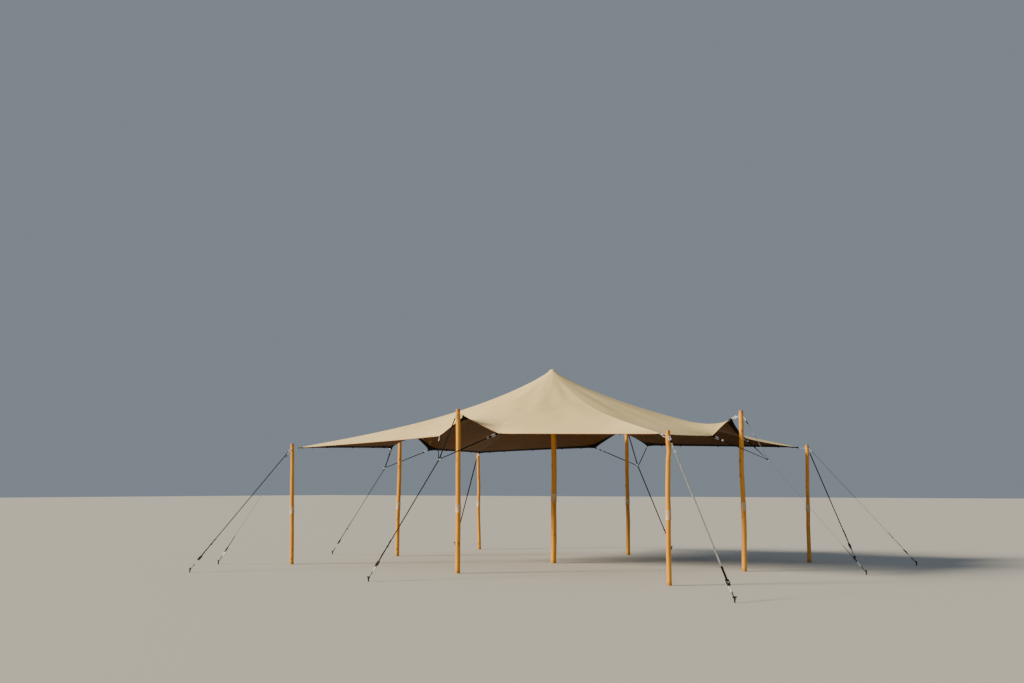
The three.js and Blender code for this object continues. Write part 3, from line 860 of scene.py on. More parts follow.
def settled(rings):
    """Heights at which each free point rests at the tension-weighted mean of its four neighbours.

    Each ring is solved in terms of the next one out, and then the rings are filled in from the rim.
    """
    plan = rings[..., :2]
    radius = np.linalg.norm(plan, axis=2)
    beside = np.roll(plan, -1, 1)
    width = np.linalg.norm(beside - np.roll(plan, 1, 1), axis=2) / 2
    depth = np.linalg.norm(np.gradient(plan, axis=0), axis=2)
    outward = tension((radius[1:] + radius[:-1]) / 2) * (width[1:] + width[:-1]) / 2
    outward /= np.linalg.norm(np.diff(plan, axis=0), axis=2)
    sideways = tension((radius + np.roll(radius, -1, 1)) / 2) * (depth + np.roll(depth, -1, 1)) / 2
    sideways *= SIDEWAYS_SHARE / np.linalg.norm(beside - plan, axis=2)
    count = plan.shape[1]
    spot = np.arange(count)
    follow, fixed = np.zeros((count, count)), rings[0, :, 2]
    steps = []
    for ring in range(1, len(rings) - 1):
        inner, outer, side = outward[ring - 1], outward[ring], sideways[ring]
        balance = np.diag(inner + outer + side + np.roll(side, 1))
        balance[spot, (spot + 1) % count] -= side
        balance[(spot + 1) % count, spot] -= side
        balance -= inner[:, None] * follow
        solved = np.linalg.solve(balance, np.column_stack([np.diag(outer), inner * fixed]))
        follow, fixed = solved[:, :-1], solved[:, -1]
        steps.append((follow, fixed))
    heights = rings[..., 2].copy()
    for ring in range(len(rings) - 2, 0, -1):
        follow, fixed = steps[ring - 1]
        heights[ring] = follow @ heights[ring + 1] + fixed
    return heights


# The cloth's soft folds, as heights and lobes at each kind of pull, its long ripples, as heights, lobes
# and how far they drift round on their way down, and a place on it that is far from the hem's stitches
FOLD_REACH = 0.30
TIP_FOLDS = (0.0022, 11)
PEAK_FOLDS = (0.0028, 12)
FLANK_FOLDS = (0.0034, 10)
RIPPLES = ((0.0050, 13, 1.3), (0.0040, 19, -2.1), (0.0022, 31, 3.4))
FAR_INSIDE = 3.0
HEM_INSETS = np.array([0.103, 0.085, 0.062, 0.040, 0.020, 0.008, 0.0])


def folds(x, y):
    """Soft ridges that fan out from every place where the cloth is pulled."""
    pulls = [(tip, *TIP_FOLDS) for tip in TIPS.values()]
    pulls += [(peak, *PEAK_FOLDS) for peak in PEAKS.values()]
    pulls += [(flank, *FLANK_FOLDS) for pair in FLANKS.values() for flank in pair]
    lift = np.zeros_like(x)
    for number, (pull, size, lobes) in enumerate(pulls):
        away_x, away_y = x - pull[0], y - pull[1]
        share = np.hypot(away_x, away_y) / FOLD_REACH
        ridge = np.cos(lobes * np.arctan2(away_y, away_x) + 1.7 * number)
        lift += size * share ** 3 * np.exp(3 - 3 * share) * ridge
    return lift


def ripples(turn, fraction):
    """Long shallow waves that run down the slopes, fading out at the cap and at the edge."""
    fade = (fraction * (1 - fraction) * 4) ** 1.5
    lift = np.zeros_like(fraction)
    for size, lobes, drift in RIPPLES:
        lift += size * np.cos(lobes * turn + drift * fraction * 3 + lobes)
    return lift * fade


class Canopy:
    """The settled sheet as rings of points, from the rim of the nub to the edge."""

    def __init__(self):
        rim = canopy_rim()
        nub_radius, nub_drop = NUB[-1]
        self.out = level_unit(rim)
        ahead = level_unit(np.roll(rim, -1, 0) - rim)
        before = np.roll(ahead, 1, 0)
        slants = np.abs([np.cross(ahead, self.out)[:, 2], np.cross(before, self.out)[:, 2]])
        self.slant = slants.mean(0)
        reach = np.linalg.norm(rim[:, :2], axis=1)
        hem = reach - HEM_INSETS[:, None] / self.slant
        share = (np.arange(RINGS) / RINGS)[:, None]
        share = share ** 1.5 * (1.8 - 0.8 * share)
        rounded = mixed(ROUND_REACH, hem[0], share ** ROUND_POWER)
        self.radii = np.concatenate([mixed(nub_radius, rounded, share), hem])
        fraction = (self.radii - nub_radius) / (reach - nub_radius)
        self.rings = self.radii[..., None] * self.out
        self.rings[..., 2] = mixed(CANOPY_TOP - nub_drop, rim[:, 2], fraction)
        self.rings[..., 2] = settled(self.rings)
        self.rings[..., 2] += folds(self.rings[..., 0], self.rings[..., 1]) * fraction ** 2
        turn = np.arctan2(self.out[:, 1], self.out[:, 0])
        self.rings[..., 2] += ripples(turn, fraction)
        self.rim = self.rings[-1]
        self.length = distances(self.rim, closed=True)

    def inside(self, inward, drop=0.0):
        """The line of points at a distance inside the edge, and a drop below the top face."""
        radius = self.radii[-1] - inward / self.slant
        line = self.out * radius[:, None]
        for spoke, at in enumerate(radius):
            line[spoke, 2] = np.interp(at, self.radii[:, spoke], self.rings[:, spoke, 2]) - drop
        return line

    def beneath(self, place, drop):
        """The point under a place of the plan, a drop below the top face."""
        x, y = place[:2]
        angles = np.arctan2(self.out[:, 1], self.out[:, 0])
        turn = (math.atan2(y, x) - angles[0]) % FULL_TURN
        turns = (angles - angles[0]) % FULL_TURN
        spoke = int(np.searchsorted(turns, turn, side="right") - 1)
        after = (spoke + 1) % len(turns)
        a, b = self.rim[spoke, :2], self.rim[after, :2]
        ray = np.array([math.cos(turn + angles[0]), math.sin(turn + angles[0])])
        share = (a[0] * ray[1] - a[1] * ray[0]) / ((a - b)[0] * ray[1] - (a - b)[1] * ray[0])
        fraction = math.hypot(x, y) / (mixed(a, b, share) @ ray)
        low, high = (
            np.interp(fraction * self.radii[-1, i], self.radii[:, i], self.rings[:, i, 2])
            for i in (spoke, after)
        )
        return np.array([x, y, mixed(low, high, share) - drop])

    def build(self):
        nub = [radius * self.out + (CANOPY_TOP - drop) * UP for radius, drop in NUB[:-1]]
        top = np.concatenate([np.array(nub), self.rings])
        under = top - CLOTH * UP
        points = np.concatenate([under, top[::-1]])
        inward = (self.radii[-1] - np.linalg.norm(points[..., :2], axis=2)) * self.slant
        inward = np.concatenate([inward, inward[:, :1]], axis=1)
        places = np.stack([np.broadcast_to(self.length, inward.shape), inward], -1)
        rows, columns = points.shape[:2]
        shape = Shape()
        shape.grid(points, places, finish=np.where(np.arange(rows) < rows // 2, 1, 0))
        column = np.arange(columns)
        pair = np.stack([column, (column + 1) % columns], 1)
        for row, height, way, face in ((0, CANOPY_TOP - CLOTH, -1, 1), (rows - 1, CANOPY_TOP, 1, 0)):
            centre = shape.add_points(height * UP)
            fan = np.column_stack([np.full(columns, centre), pair[:, ::way] + row * columns])
            shape.faces_on(0, fan, np.full((columns, 3, 2), FAR_INSIDE), face)
        finishes = [sand_cloth, tan_cloth_painted_shade]
        return shape.piece("canopy_sheet", finishes, "canopy_fabric", ["canopy"], smooth=75)


canopy = Canopy()
canopy_sheet = canopy.build()


# Canopy trimmings: the hem's band, the rolled edge, the patches, the bindings and the edge loops
HEM_WIDTH = 0.100
HEM = 0.0018
EDGE_ROLL = 0.0042
PATCH = 0.0016
PATCH_REACH = 0.165
PATCH_STEPS = 14
PATCH_INSET = 0.006
PATCH_DEPTH = CLOTH + HEM + 0.0022
BINDING_REACH = 0.10
EDGE_LOOPS = (0.105, 0.25, 0.49, 0.75, 0.89)
LOOP = 0.0018
LOOP_WIDTH = 0.018
LOOP_REACH = 0.045
LOOP_OUT = 0.008
LOOP_DROP = 0.010
EDGE_RING = 0.010
EDGE_RING_BAR = 0.0022
EDGE_RING_HANG = 0.008
EDGE_RING_SLOPE = 1.6

# A tab: how far inside the edge it is sewn, and how deep it lies under the cloth
TAB_REACHES = (0.125, 0.095, 0.065, 0.035, 0.012)
TAB_DEPTH = CLOTH + HEM + 0.0042 + TAB / 2

# Sewing: the finish number of thread, and where a sewn box starts on a strap's eye and its length
THREAD = 1
SEAM_START = 0.030
SEAM = 0.048
STITCH = 0.0045
OVERLAP = 0.085

# A snap link's rounding, its gate's tube and nut, as half lengths and radii in bars, and the gate's
# pin, as its place, half length and radius
LINK_ROUNDING = 0.0125
GATE = ((0.021, 1.35), (0.013, 1.62))
GATE_PIN = (0.017, 0.006, 0.0016)


def build_hem():
    """A black webbing band under the edge."""
    insets = np.array([0.001, 0.010, 0.022, 0.040, 0.062, 0.082, HEM_WIDTH])
    upper = [canopy.inside(inset, CLOTH + 0.0003) for inset in insets]
    lower = [line - HEM * UP for line in upper]
    points = np.array([*upper, *lower[::-1]]).transpose(1, 0, 2)
    across = np.concatenate([insets, insets[::-1] + 2 * HEM_WIDTH, insets[:1]])
    places = np.stack(np.meshgrid(across, canopy.length), -1)
    shape = Shape()
    shape.grid(points, places, along=True)
    return shape.piece("canopy_hem", [black_webbing], "webbing", smooth=60)


def build_edge_roll():
    """The cloth's edge, folded over a cord."""
    shape = Shape()
    path = canopy.rim - (CLOTH / 2) * UP
    shape.sweep(path, circle(EDGE_ROLL, 10), UP, closed=True)
    return shape.piece("canopy_edge_roll", [roll_cloth], "canopy_fabric", smooth=80)


def build_patch(shape, pull, before, after):
    """A three-cornered reinforcement sewn under a pulled point, from the edge inwards."""
    a, b = (PATCH_REACH * level_unit(other - pull) for other in (before, after))
    corner = pull * [1, 1, 0] + PATCH_INSET * unit(a + b)
    numbers, upper, places = {}, [], []
    for i in range(PATCH_STEPS + 1):
        for j in range(PATCH_STEPS + 1 - i):
            numbers[i, j] = len(upper)
            x, y = i / PATCH_STEPS, j / PATCH_STEPS
            place = corner + (a * x + b * y) * (1 - 0.9 * x * y)
            upper.append(canopy.beneath(place, PATCH_DEPTH))
            places.append([x * PATCH_REACH, y * PATCH_REACH])
    faces = []
    for i, j in numbers:
        if (i + 1, j) in numbers:
            faces.append([numbers[i, j], numbers[i + 1, j], numbers[i, j + 1]])
        if (i + 1, j + 1) in numbers:
            faces.append([numbers[i + 1, j], numbers[i + 1, j + 1], numbers[i, j + 1]])
    last = PATCH_STEPS
    border = [(k, 0) for k in range(last)] + [(last - k, k) for k in range(last)]
    border += [(0, last - k) for k in range(last)]
    way = 1 if np.cross(a, b)[2] > 0 else -1
    border = np.array([numbers[spot] for spot in border])[::way]
    next_one = np.roll(border, -1)
    upper, faces, count = np.array(upper), np.array(faces)[:, ::way], len(upper)
    walls = np.column_stack([next_one, border, border + count, next_one + count])
    base = shape.add_points(np.concatenate([upper, upper - PATCH * UP]))
    places = np.array(places + places)
    for corners in (faces, faces[:, ::-1] + count, walls):
        shape.faces_on(base, corners, places[corners], 0)


def build_patches():
    shape = Shape()
    for number, pull in enumerate(PULLS):
        build_patch(shape, pull, PULLS[number - 1], PULLS[(number + 1) % len(PULLS)])
    return shape.piece("canopy_patches", [black_webbing], "webbing", smooth=50)


def add_link(shape, run, start, end, gate=1):
    """A snap link: an oblong of round bar, narrower at its far end, with a screw gate on one side."""
    wide, narrow = LINK_WIDTH / 2 - LINK_BAR, LINK_WIDTH / 2 - 1.7 * LINK_BAR
    low, high = start + LINK_BAR, end - LINK_BAR
    path = run.flat(rounded_bar(low, high, wide, LINK_ROUNDING, narrow))
    shape.sweep(path, circle(LINK_BAR, 10), run.z, closed=True)
    middle = (low + high) / 2
    side = gate * mixed(wide, narrow, 0.5)
    tilt = gate * (narrow - wide) / (high - low)
    for reach, radius in GATE:
        ends = [run.at(middle + sign * reach, side + sign * reach * tilt) for sign in (-1, 1)]
        shape.rod(*ends, radius * LINK_BAR, run.z)
    at, half, radius = GATE_PIN
    hinge = run.at(low + at, side - tilt * 0.02)
    shape.rod(hinge - half * run.z, hinge + half * run.z, radius, run.x, 8)


def near_eye(at, bar, reach, thickness=STRAP):
    """A strap's eye at the start of a run: its lower layer, its turn round a bar, its upper layer."""
    lie = LIE * thickness
    angle = np.linspace(0.38 * math.pi, 1.62 * math.pi, 9)
    arc = (bar + thickness / 2 + 0.0003) * np.stack([np.cos(angle), -np.sin(angle)], 1)
    lower = [(reach, -lie), (0.036, -lie), (0.026, -lie * 1.1)]
    return np.array([*lower, *arc, (0.026, lie * 1.1), (0.036, lie)]) + [at, 0]


def far_eye(at, bar, reach, thickness=STRAP):
    """The same at the end of a run, from its upper layer to its lower one."""
    return (near_eye(0, bar, reach, thickness) * [-1, 1])[::-1] + [at, 0]


def add_strap(shape, run, start, end, start_bar, end_bar=None):
    """A strap along a run. Round a bar at its start, or at both ends, it is sewn back on itself."""
    first = near_eye(start, start_bar, OVERLAP)
    last = far_eye(end, end_bar, OVERLAP) if end_bar else [(end, STRAP_LIE)]
    shape.sweep(run.upright(np.concatenate([first, last])), flat_section(STRAP_WIDTH, STRAP), run.y)


def add_stitches(shape, run, start, length=SEAM, width=STRAP_WIDTH, off=2 * STRAP_LIE):
    """A sewn box with a cross in it, of raised thread, on both faces of a strap."""
    end, half = start + length, width / 2 - 0.003
    corners = [(start, -half), (end, -half), (end, half), (start, half)]
    lines = list(zip(corners, corners[1:] + corners[:1]))
    lines += [(corners[0], corners[2]), (corners[1], corners[3])]
    side = run.z + 0.3 * run.y
    for (x0, y0), (x1, y1) in lines:
        count = max(2, round(math.hypot(x1 - x0, y1 - y0) / STITCH))
        for number in range(count):
            shares = (number + 0.15) / count, (number + 0.85) / count
            for face in (-off, off):
                ends = [run.at(mixed(x0, x1, share), mixed(y0, y1, share), face) for share in shares]
                path = [ends[0], mixed(*ends, 0.5), ends[1]]
                shape.sweep(path, circle(0.00055, 5), side, sizes=(0.5, 1.0, 0.5), finish=THREAD)


def add_tab(shape, run, pull, finish=0):
    """A webbing tongue sewn under the canopy, turned round the link outside the edge and sewn back."""
    inward = -level_unit(run.x)
    inner = np.array([canopy.beneath(pull + reach * inward, TAB_DEPTH) for reach in TAB_REACHES])
    eye = run.upright(far_eye(TAB_REACH, LINK_BAR, 0.036, TAB))
    path = np.concatenate([inner, eye, inner[::-1] - 1.06 * TAB * UP])
    sewn = np.tile(run.level, (len(inner), 1))
    side = np.concatenate([sewn, np.tile(run.y, (len(eye), 1)), sewn])
    shape.sweep(path, flat_section(TAB_WIDTH, TAB), side, finish=finish)
    under = Run(inner[3] - 1.56 * TAB * UP, inner[0] - 1.56 * TAB * UP)
    add_stitches(shape, under, 0.004, under.length - 0.016, TAB_WIDTH, 0.0002)


def build_bindings():
    """Black webbing folded over the edge at every pulled point."""
    shape = Shape()
    section = rounded_bar(-0.0085, 0.0085, 0.0060, 0.0045, steps=4)
    sizes = np.minimum(1, 0.7 + 0.3 * np.arange(13))
    sizes = np.concatenate([sizes, sizes[-2::-1]])
    for start in STARTS[:-1]:
        marks = canopy.length[start] + np.linspace(-BINDING_REACH, BINDING_REACH, len(sizes))
        path = sum(on_loop(canopy.rim, marks + shift) for shift in (-0.009, 0, 0.009)) / 3
        shape.sweep(path - 0.0045 * UP, section, UP, sizes=sizes)
    return shape.piece("edge_bindings", [black_webbing], "webbing", smooth=60)


def edge_marks():
    """The places of the loops on each long run of the edge, as lengths from the first tip."""
    ends = canopy.length[STARTS]
    long_runs = [pair for *pair, run in zip(ends, ends[1:], RUNS) if run == LONG_RUN]
    return [mixed(low, high, share) for low, high in long_runs for share in EDGE_LOOPS]


def build_loops():
    """Small webbing loops with steel rings along the edge, for more guys."""
    loops, rings = Shape(), Shape()
    for mark in edge_marks():
        at = on_loop(canopy.rim, mark)
        edge = unit(on_loop(canopy.rim, mark + 0.02) - at)
        out = unit(np.cross(edge, UP))
        tip = at + LOOP_OUT * out - LOOP_DROP * UP
        run = Run(at - LOOP_REACH * out - (CLOTH + HEM + 0.001) * UP, tip)
        eye = far_eye(run.length, 0.0025, LOOP_REACH, LOOP)
        loops.sweep(run.upright(eye), flat_section(LOOP_WIDTH, LOOP), edge)
        down = unit(out - EDGE_RING_SLOPE * UP)
        path = ring(tip + EDGE_RING_HANG * down, EDGE_RING, down, unit(np.cross(edge, down)), 24)
        rings.sweep(path, circle(EDGE_RING_BAR, 8), edge, closed=True)
    return (
        loops.piece("edge_loops", [black_webbing], "webbing"),
        rings.piece("edge_rings", [dull_steel], "stake_steel"),
    )


hem = build_hem()
edge_roll = build_edge_roll()
patches = build_patches()
bindings = build_bindings()
edge_loops, edge_rings = build_loops()


# Cap on the centre pole
CAP_GAP = 0.0006


def build_cap():
    """A moulded dome that spreads the cloth over the pole's end, with a collar round the pole."""
    pole = POLES["centre"]
    under = CANOPY_TOP - CLOTH - CAP_GAP
    (rim, drop), *dome = NUB[::-1]
    rim, edge = rim - 0.0025, under - drop
    top = pole.height
    collar = float(pole.radius(top)) + 0.001
    profile = [
        (collar - 0.002, top + 0.0004),
        (collar + 0.011, top + 0.0004),
        (collar + 0.012, top + 0.004),
        (rim - 0.004, edge - 0.013),
        (rim, edge - 0.009),
        (rim, edge - 0.001),
        *((radius, under - drop) for radius, drop in dome),
        (0.004, under),
    ]
    shape = Shape()
    shape.lathe(profile, np.zeros(3), 72)
    return shape.piece("moulded_cap", [rubber], "cap_plastic", ["cap_centre"])


build_cap()


# Guys: where the links, sleeving, slide, spare end and ratchet lie along them, and which are painted
# pale
LINK_START = 0.0055
LINK_LENGTH = 0.090
LINK_TURN = math.radians(62)
SLIDER = 0.38
DARK_EYE = 0.17
DARK_END = 0.24
TAIL = 0.44
KEEPER = 0.30
# These guys' straps and this tab are black webbing painted grey: a painted sheen of sun on them
SHEEN_PAINTED_GUYS = ("front_right", "right", "front_left_2")
SHEEN_PAINTED_TABS = ("front_left",)
SHEEN_PAINTED_FINISH = 2

# A screw eye, with the outline of its washer
EYE_RADIUS = 0.0095
EYE_BAR = 0.0026
EYE_WASHER = ((0.0105, -0.0024), (0.0105, 0.0008), (0.0095, 0.0014))

# A slide's half length, edge, height off the strap, plate and rim, and its bar's radius and height
SLIDE_REACH = 0.019
SLIDE_EDGE = 0.007
SLIDE_LIFT = 0.0040
SLIDE_PLATE = 0.0030
SLIDE_RIM = 0.0026
SLIDE_BAR = 0.0028
SLIDE_BAR_LIFT = 0.0062

# The thickness of sleeving, and the spare end's lift and its waves up, sideways and in twist
SLEEVING = 0.0022
TAIL_LIFT = 0.0044
TAIL_RISE = 0.0016
TAIL_DRIFT = 0.0030
TAIL_TWIST = 0.14

# The hook and the web in it: half their widths at the wide and narrow ends, their bar and sheet
HOOK_HALVES = (0.0195, 0.0075)
HOOK_ROUNDING = 0.0050
HOOK_BAR = 0.0046
WEB_HALVES = (0.0170, 0.0080)
WEB_ROUNDING = 0.003
WEB_END = 0.026
WEB = 0.0040

# The ratchet, from the grip's end. Cheeks: start, end, half height, boss and its radius. Pins: place,
# half length, radius and sides. Plates: start, end, half width, height and thickness. Wheel: radius,
# depth of its teeth and their number. Axle's ends: from, to and radius.
CHEEK = 0.0024
SPOOL = 0.066
RATCHET_BOLT = 0.122
FRAME_CHEEK = (0.052, 0.129, 0.0075, SPOOL, 0.0150)
HANDLE_CHEEK = (0.004, 0.078, 0.0080, SPOOL, 0.0130)
CHEEK_PLACES = ((0.0224, FRAME_CHEEK), (0.0262, HANDLE_CHEEK))
WHEEL_PLACE = 0.0192
WHEEL = (0.0160, 0.0028, 12)
AXLE_END = (0.0272, 0.0290, 0.0060)
PINS = (
    (SPOOL, 0.0275, 0.0064, 12),
    (RATCHET_BOLT, 0.0265, 0.0040, 12),
    (0.008, 0.0290, 0.0062, 16),
)
PLATES = (
    (0.084, 0.116, 0.0208, -0.0064, 0.0022),
    (0.010, 0.043, 0.0248, 0.0072, 0.0022),
    (0.088, 0.106, 0.0205, 0.0044, 0.0026),
)

# The strop's rope: its radius, the length of one turn of its strands, its steps, its strands, the
# places of its seizings as shares of its length, and the steps along a seizing
ROPE_RADIUS = 0.0046
ROPE_LAY = 0.030
ROPE_STEP = 0.0032
ROPE_STRANDS = 3
SEIZINGS = (0.30, 0.70)
SEIZING_STEPS = (-0.008, -0.006, 0.006, 0.008)


def stake_place(name):
    low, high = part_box("stake_" + name)
    return np.array([(low.x + high.x) / 2, (low.y + high.y) / 2, 0.0])


def add_eye(shape, pole, bar, way, across):
    """A screw eye in a pole's face. Its ring holds a link's end bar, which is pulled one way."""
    eye = bar - (EYE_RADIUS - EYE_BAR - LINK_BAR) * way
    centre = pole.centre(eye[2])
    out = level_unit(eye - centre)
    axis = unit(across - (across @ out) * out)
    face = centre + float(pole.radius(eye[2])) * out
    path = ring(eye, EYE_RADIUS, out, np.cross(out, axis), 24)
    shape.sweep(path, circle(EYE_BAR, 8), axis, closed=True)
    shape.rod(face - 0.004 * out, eye - EYE_RADIUS * out, EYE_BAR, UP, 10)
    shape.lathe(EYE_WASHER, face, 24, out)


def add_pin(shape, run, at, half, radius, sides=12, lift=0.0):
    """A round bar across a run."""
    shape.rod(run.at(at, -half, lift), run.at(at, half, lift), radius, run.z, sides)


def add_slider(shape, run, at, width=STRAP_WIDTH):
    """A cast slide on a strap: a plate with a raised rim and a middle bar."""
    half = width / 2 + SLIDE_EDGE
    outline = rounded_bar(-SLIDE_REACH, SLIDE_REACH, half, 0.005)
    shape.plate(outline, SLIDE_PLATE, run.at(at, 0, SLIDE_LIFT), run.x, run.y)
    rim = run.flat(outline + [at, 0], SLIDE_LIFT)
    shape.sweep(rim, circle(SLIDE_RIM, 8), run.z, closed=True)
    add_pin(shape, run, at, half, SLIDE_BAR, lift=SLIDE_BAR_LIFT)


def add_sleeving(shape, run, start, end, width=STRAP_WIDTH, finish=1):
    """A sewn black sleeve over a strap's eye."""
    half = width / 2 + SLEEVING
    section = rounded_bar(-half, half, STRAP + SLEEVING, 0.0035, steps=4)
    path = [run.at(at) for at in (start, start + 0.004, end - 0.004, end)]
    shape.sweep(path, section, run.y, sizes=(0.94, 1, 1, 0.94), finish=finish)


def add_tail(shape, run, ratchet, seed):
    """The spare end of a strap, laid loosely along the strap above its ratchet, under a keeper."""
    random = np.random.default_rng(seed)
    along = np.arange(ratchet - TAIL, ratchet - 0.004, 0.012)
    waves = random.uniform(0, FULL_TURN, 3)
    slack = np.minimum(np.abs(along - (ratchet - KEEPER)) / 0.05, 1)
    lift = TAIL_LIFT + TAIL_RISE * slack * (1 + np.sin(along * 46 + waves[0]))
    drift = TAIL_DRIFT * slack * np.sin(along * 17 + waves[1])
    twist = TAIL_TWIST * slack * np.sin(along * 23 + waves[2])
    path = run.flat(np.stack([along, drift], 1), lift[:, None])
    shape.sweep(path, flat_section(STRAP_WIDTH, 0.0022), run.y, turn=twist)
    band = rounded_bar(-0.0185, 0.0185, 0.0085, 0.0075) @ np.array([run.y, run.z])
    shape.sweep(run.at(ratchet - KEEPER) + band, flat_section(0.026, 0.0026), run.x, closed=True)


def toothed_wheel(radius, depth, teeth):
    outline = []
    for tooth in range(teeth):
        for share, cut in ((0.0, depth), (0.55, 0), (0.75, 0), (0.8, depth)):
            angle = (tooth + share) / teeth * FULL_TURN
            outline.append(((radius - cut) * math.cos(angle), (radius - cut) * math.sin(angle)))
    return np.array(outline)


def lobe(start, end, height, centre, radius):
    """The outline of a cheek plate: a bar from start to end with a round boss at its centre."""
    bulge = math.asin(height / radius)
    angles = np.linspace(bulge, math.pi - bulge, 9)
    upper = [(centre + radius * math.cos(a), radius * math.sin(a)) for a in angles]
    if centre - start < radius:
        upper = [(x, z) for x, z in upper if x > start] + [(start, 0.0)]
    else:
        upper += [(start + 0.005, height), (start, height * 0.6)]
    upper = [(end, height * 0.6), (end - 0.005, height)] + upper
    return upper + [(x, -z) for x, z in upper[::-1] if z]


def add_ratchet(metal, cloth, run, start):
    """A ratchet buckle: a frame and a handle of cheek plates on one spool, wound with strap."""
    spool = start + SPOOL
    wheel = toothed_wheel(*WHEEL)
    near, far, radius = AXLE_END
    for sign in (-1, 1):
        for off, cheek in CHEEK_PLACES:
            metal.plate(lobe(*cheek), CHEEK, run.at(start, sign * off), run.x, run.z)
        metal.plate(wheel, CHEEK, run.at(spool, sign * WHEEL_PLACE), run.x, run.z, 0.0003)
        metal.rod(run.at(spool, sign * near), run.at(spool, sign * far), radius, run.z)
    for at, *pin in PINS:
        add_pin(metal, run, start + at, *pin)
    for low, high, half, lift, thickness in PLATES:
        outline = rounded_bar(low, high, half, 0.003)
        metal.plate(outline, thickness, run.at(start, 0, lift), run.x, run.y)
    angle = np.linspace(0, 3 * FULL_TURN, 60)
    reach = 0.0096 + 0.0006 * np.cos(9 * angle) + 0.0011 * angle / FULL_TURN
    coil = np.stack([spool + reach * np.cos(angle), reach * np.sin(angle)], 1)
    cloth.sweep(run.upright(coil), flat_section(STRAP_WIDTH, 0.0010, 3), run.y)


def add_hook(shape, run, start, end):
    """A pressed steel wedge with a rolled rim, from the ratchet's bolt down to the strop."""
    wide, narrow = HOOK_HALVES
    rim = rounded_bar(start, end, wide, HOOK_ROUNDING, narrow, 5)
    shape.sweep(run.flat(rim), circle(HOOK_BAR, 10), run.z, closed=True)
    wide, narrow = WEB_HALVES
    web = rounded_bar(start, end - WEB_END, wide, WEB_ROUNDING, narrow)
    shape.plate(web, WEB, run.start, run.x, run.y)


def rope_section():
    """The strands side by side."""
    angle = np.arange(15) / 15 * FULL_TURN
    reach = 0.86 + 0.14 * np.abs(np.cos(ROPE_STRANDS / 2 * angle))
    return reach[:, None] * circle(ROPE_RADIUS, 15)


def add_strop(shape, run, start, stake):
    """A rope loop from the hook's tip, round the stake and back, seized in two places."""
    centre = stake + HITCH_HEIGHT * UP
    eye = run.at(start)
    away = level_unit(run.start - centre)
    across = np.cross(UP, away)
    around = STAKE_RADIUS + ROPE_RADIUS + 0.0003
    angle = np.linspace(-0.5 * math.pi, 0.5 * math.pi, 13)
    far = [centre + around * (-math.cos(a) * away - math.sin(a) * across) for a in angle]
    turn = LINK_BAR + ROPE_RADIUS
    near = [run.at(start - turn * math.cos(a) + 0.002, 0, -turn * math.sin(a)) for a in angle]

    def leg(first, last, back):
        """One side of the loop, drawn in against the other side between its two ends."""
        line = []
        for share in np.linspace(0, 1, 15)[1:-1]:
            middle = mixed(eye, centre, 1 - share if back else share)
            point = mixed(first, last, share)
            pinched = middle + unit(point - middle + 1e-6 * UP) * ROPE_RADIUS * 1.02
            line.append(mixed(pinched, point, 1 - 0.9 * math.sin(math.pi * share) ** 0.7))
        return line

    going, coming = leg(near[-1], far[0], False), leg(far[-1], near[0], True)
    coarse = np.array([*near, *going, *far, *coming])
    length = distances(coarse, closed=True)[-1]
    steps = round(length / ROPE_STEP)
    share = np.arange(steps) / steps
    path = on_loop(coarse, share * length)
    side = np.cross(run.z, unit(np.roll(path, -1, 0) - path)) + 0.2 * run.z
    twist = share * round(length / ROPE_LAY) * FULL_TURN
    shape.sweep(path, rope_section(), side, closed=True, turn=twist)
    along = unit(centre - eye)
    section = circle(1.0, 16) * [2.1 * ROPE_RADIUS + 0.0012, ROPE_RADIUS + 0.0016]
    for share in SEIZINGS:
        step = round(share * 12)
        seizing = [mixed(eye, centre, share) + reach * along for reach in SEIZING_STEPS]
        sideways = going[step] - coming[12 - step]
        shape.sweep(seizing, section, sideways, sizes=(0.9, 1, 1, 0.9), finish=1)


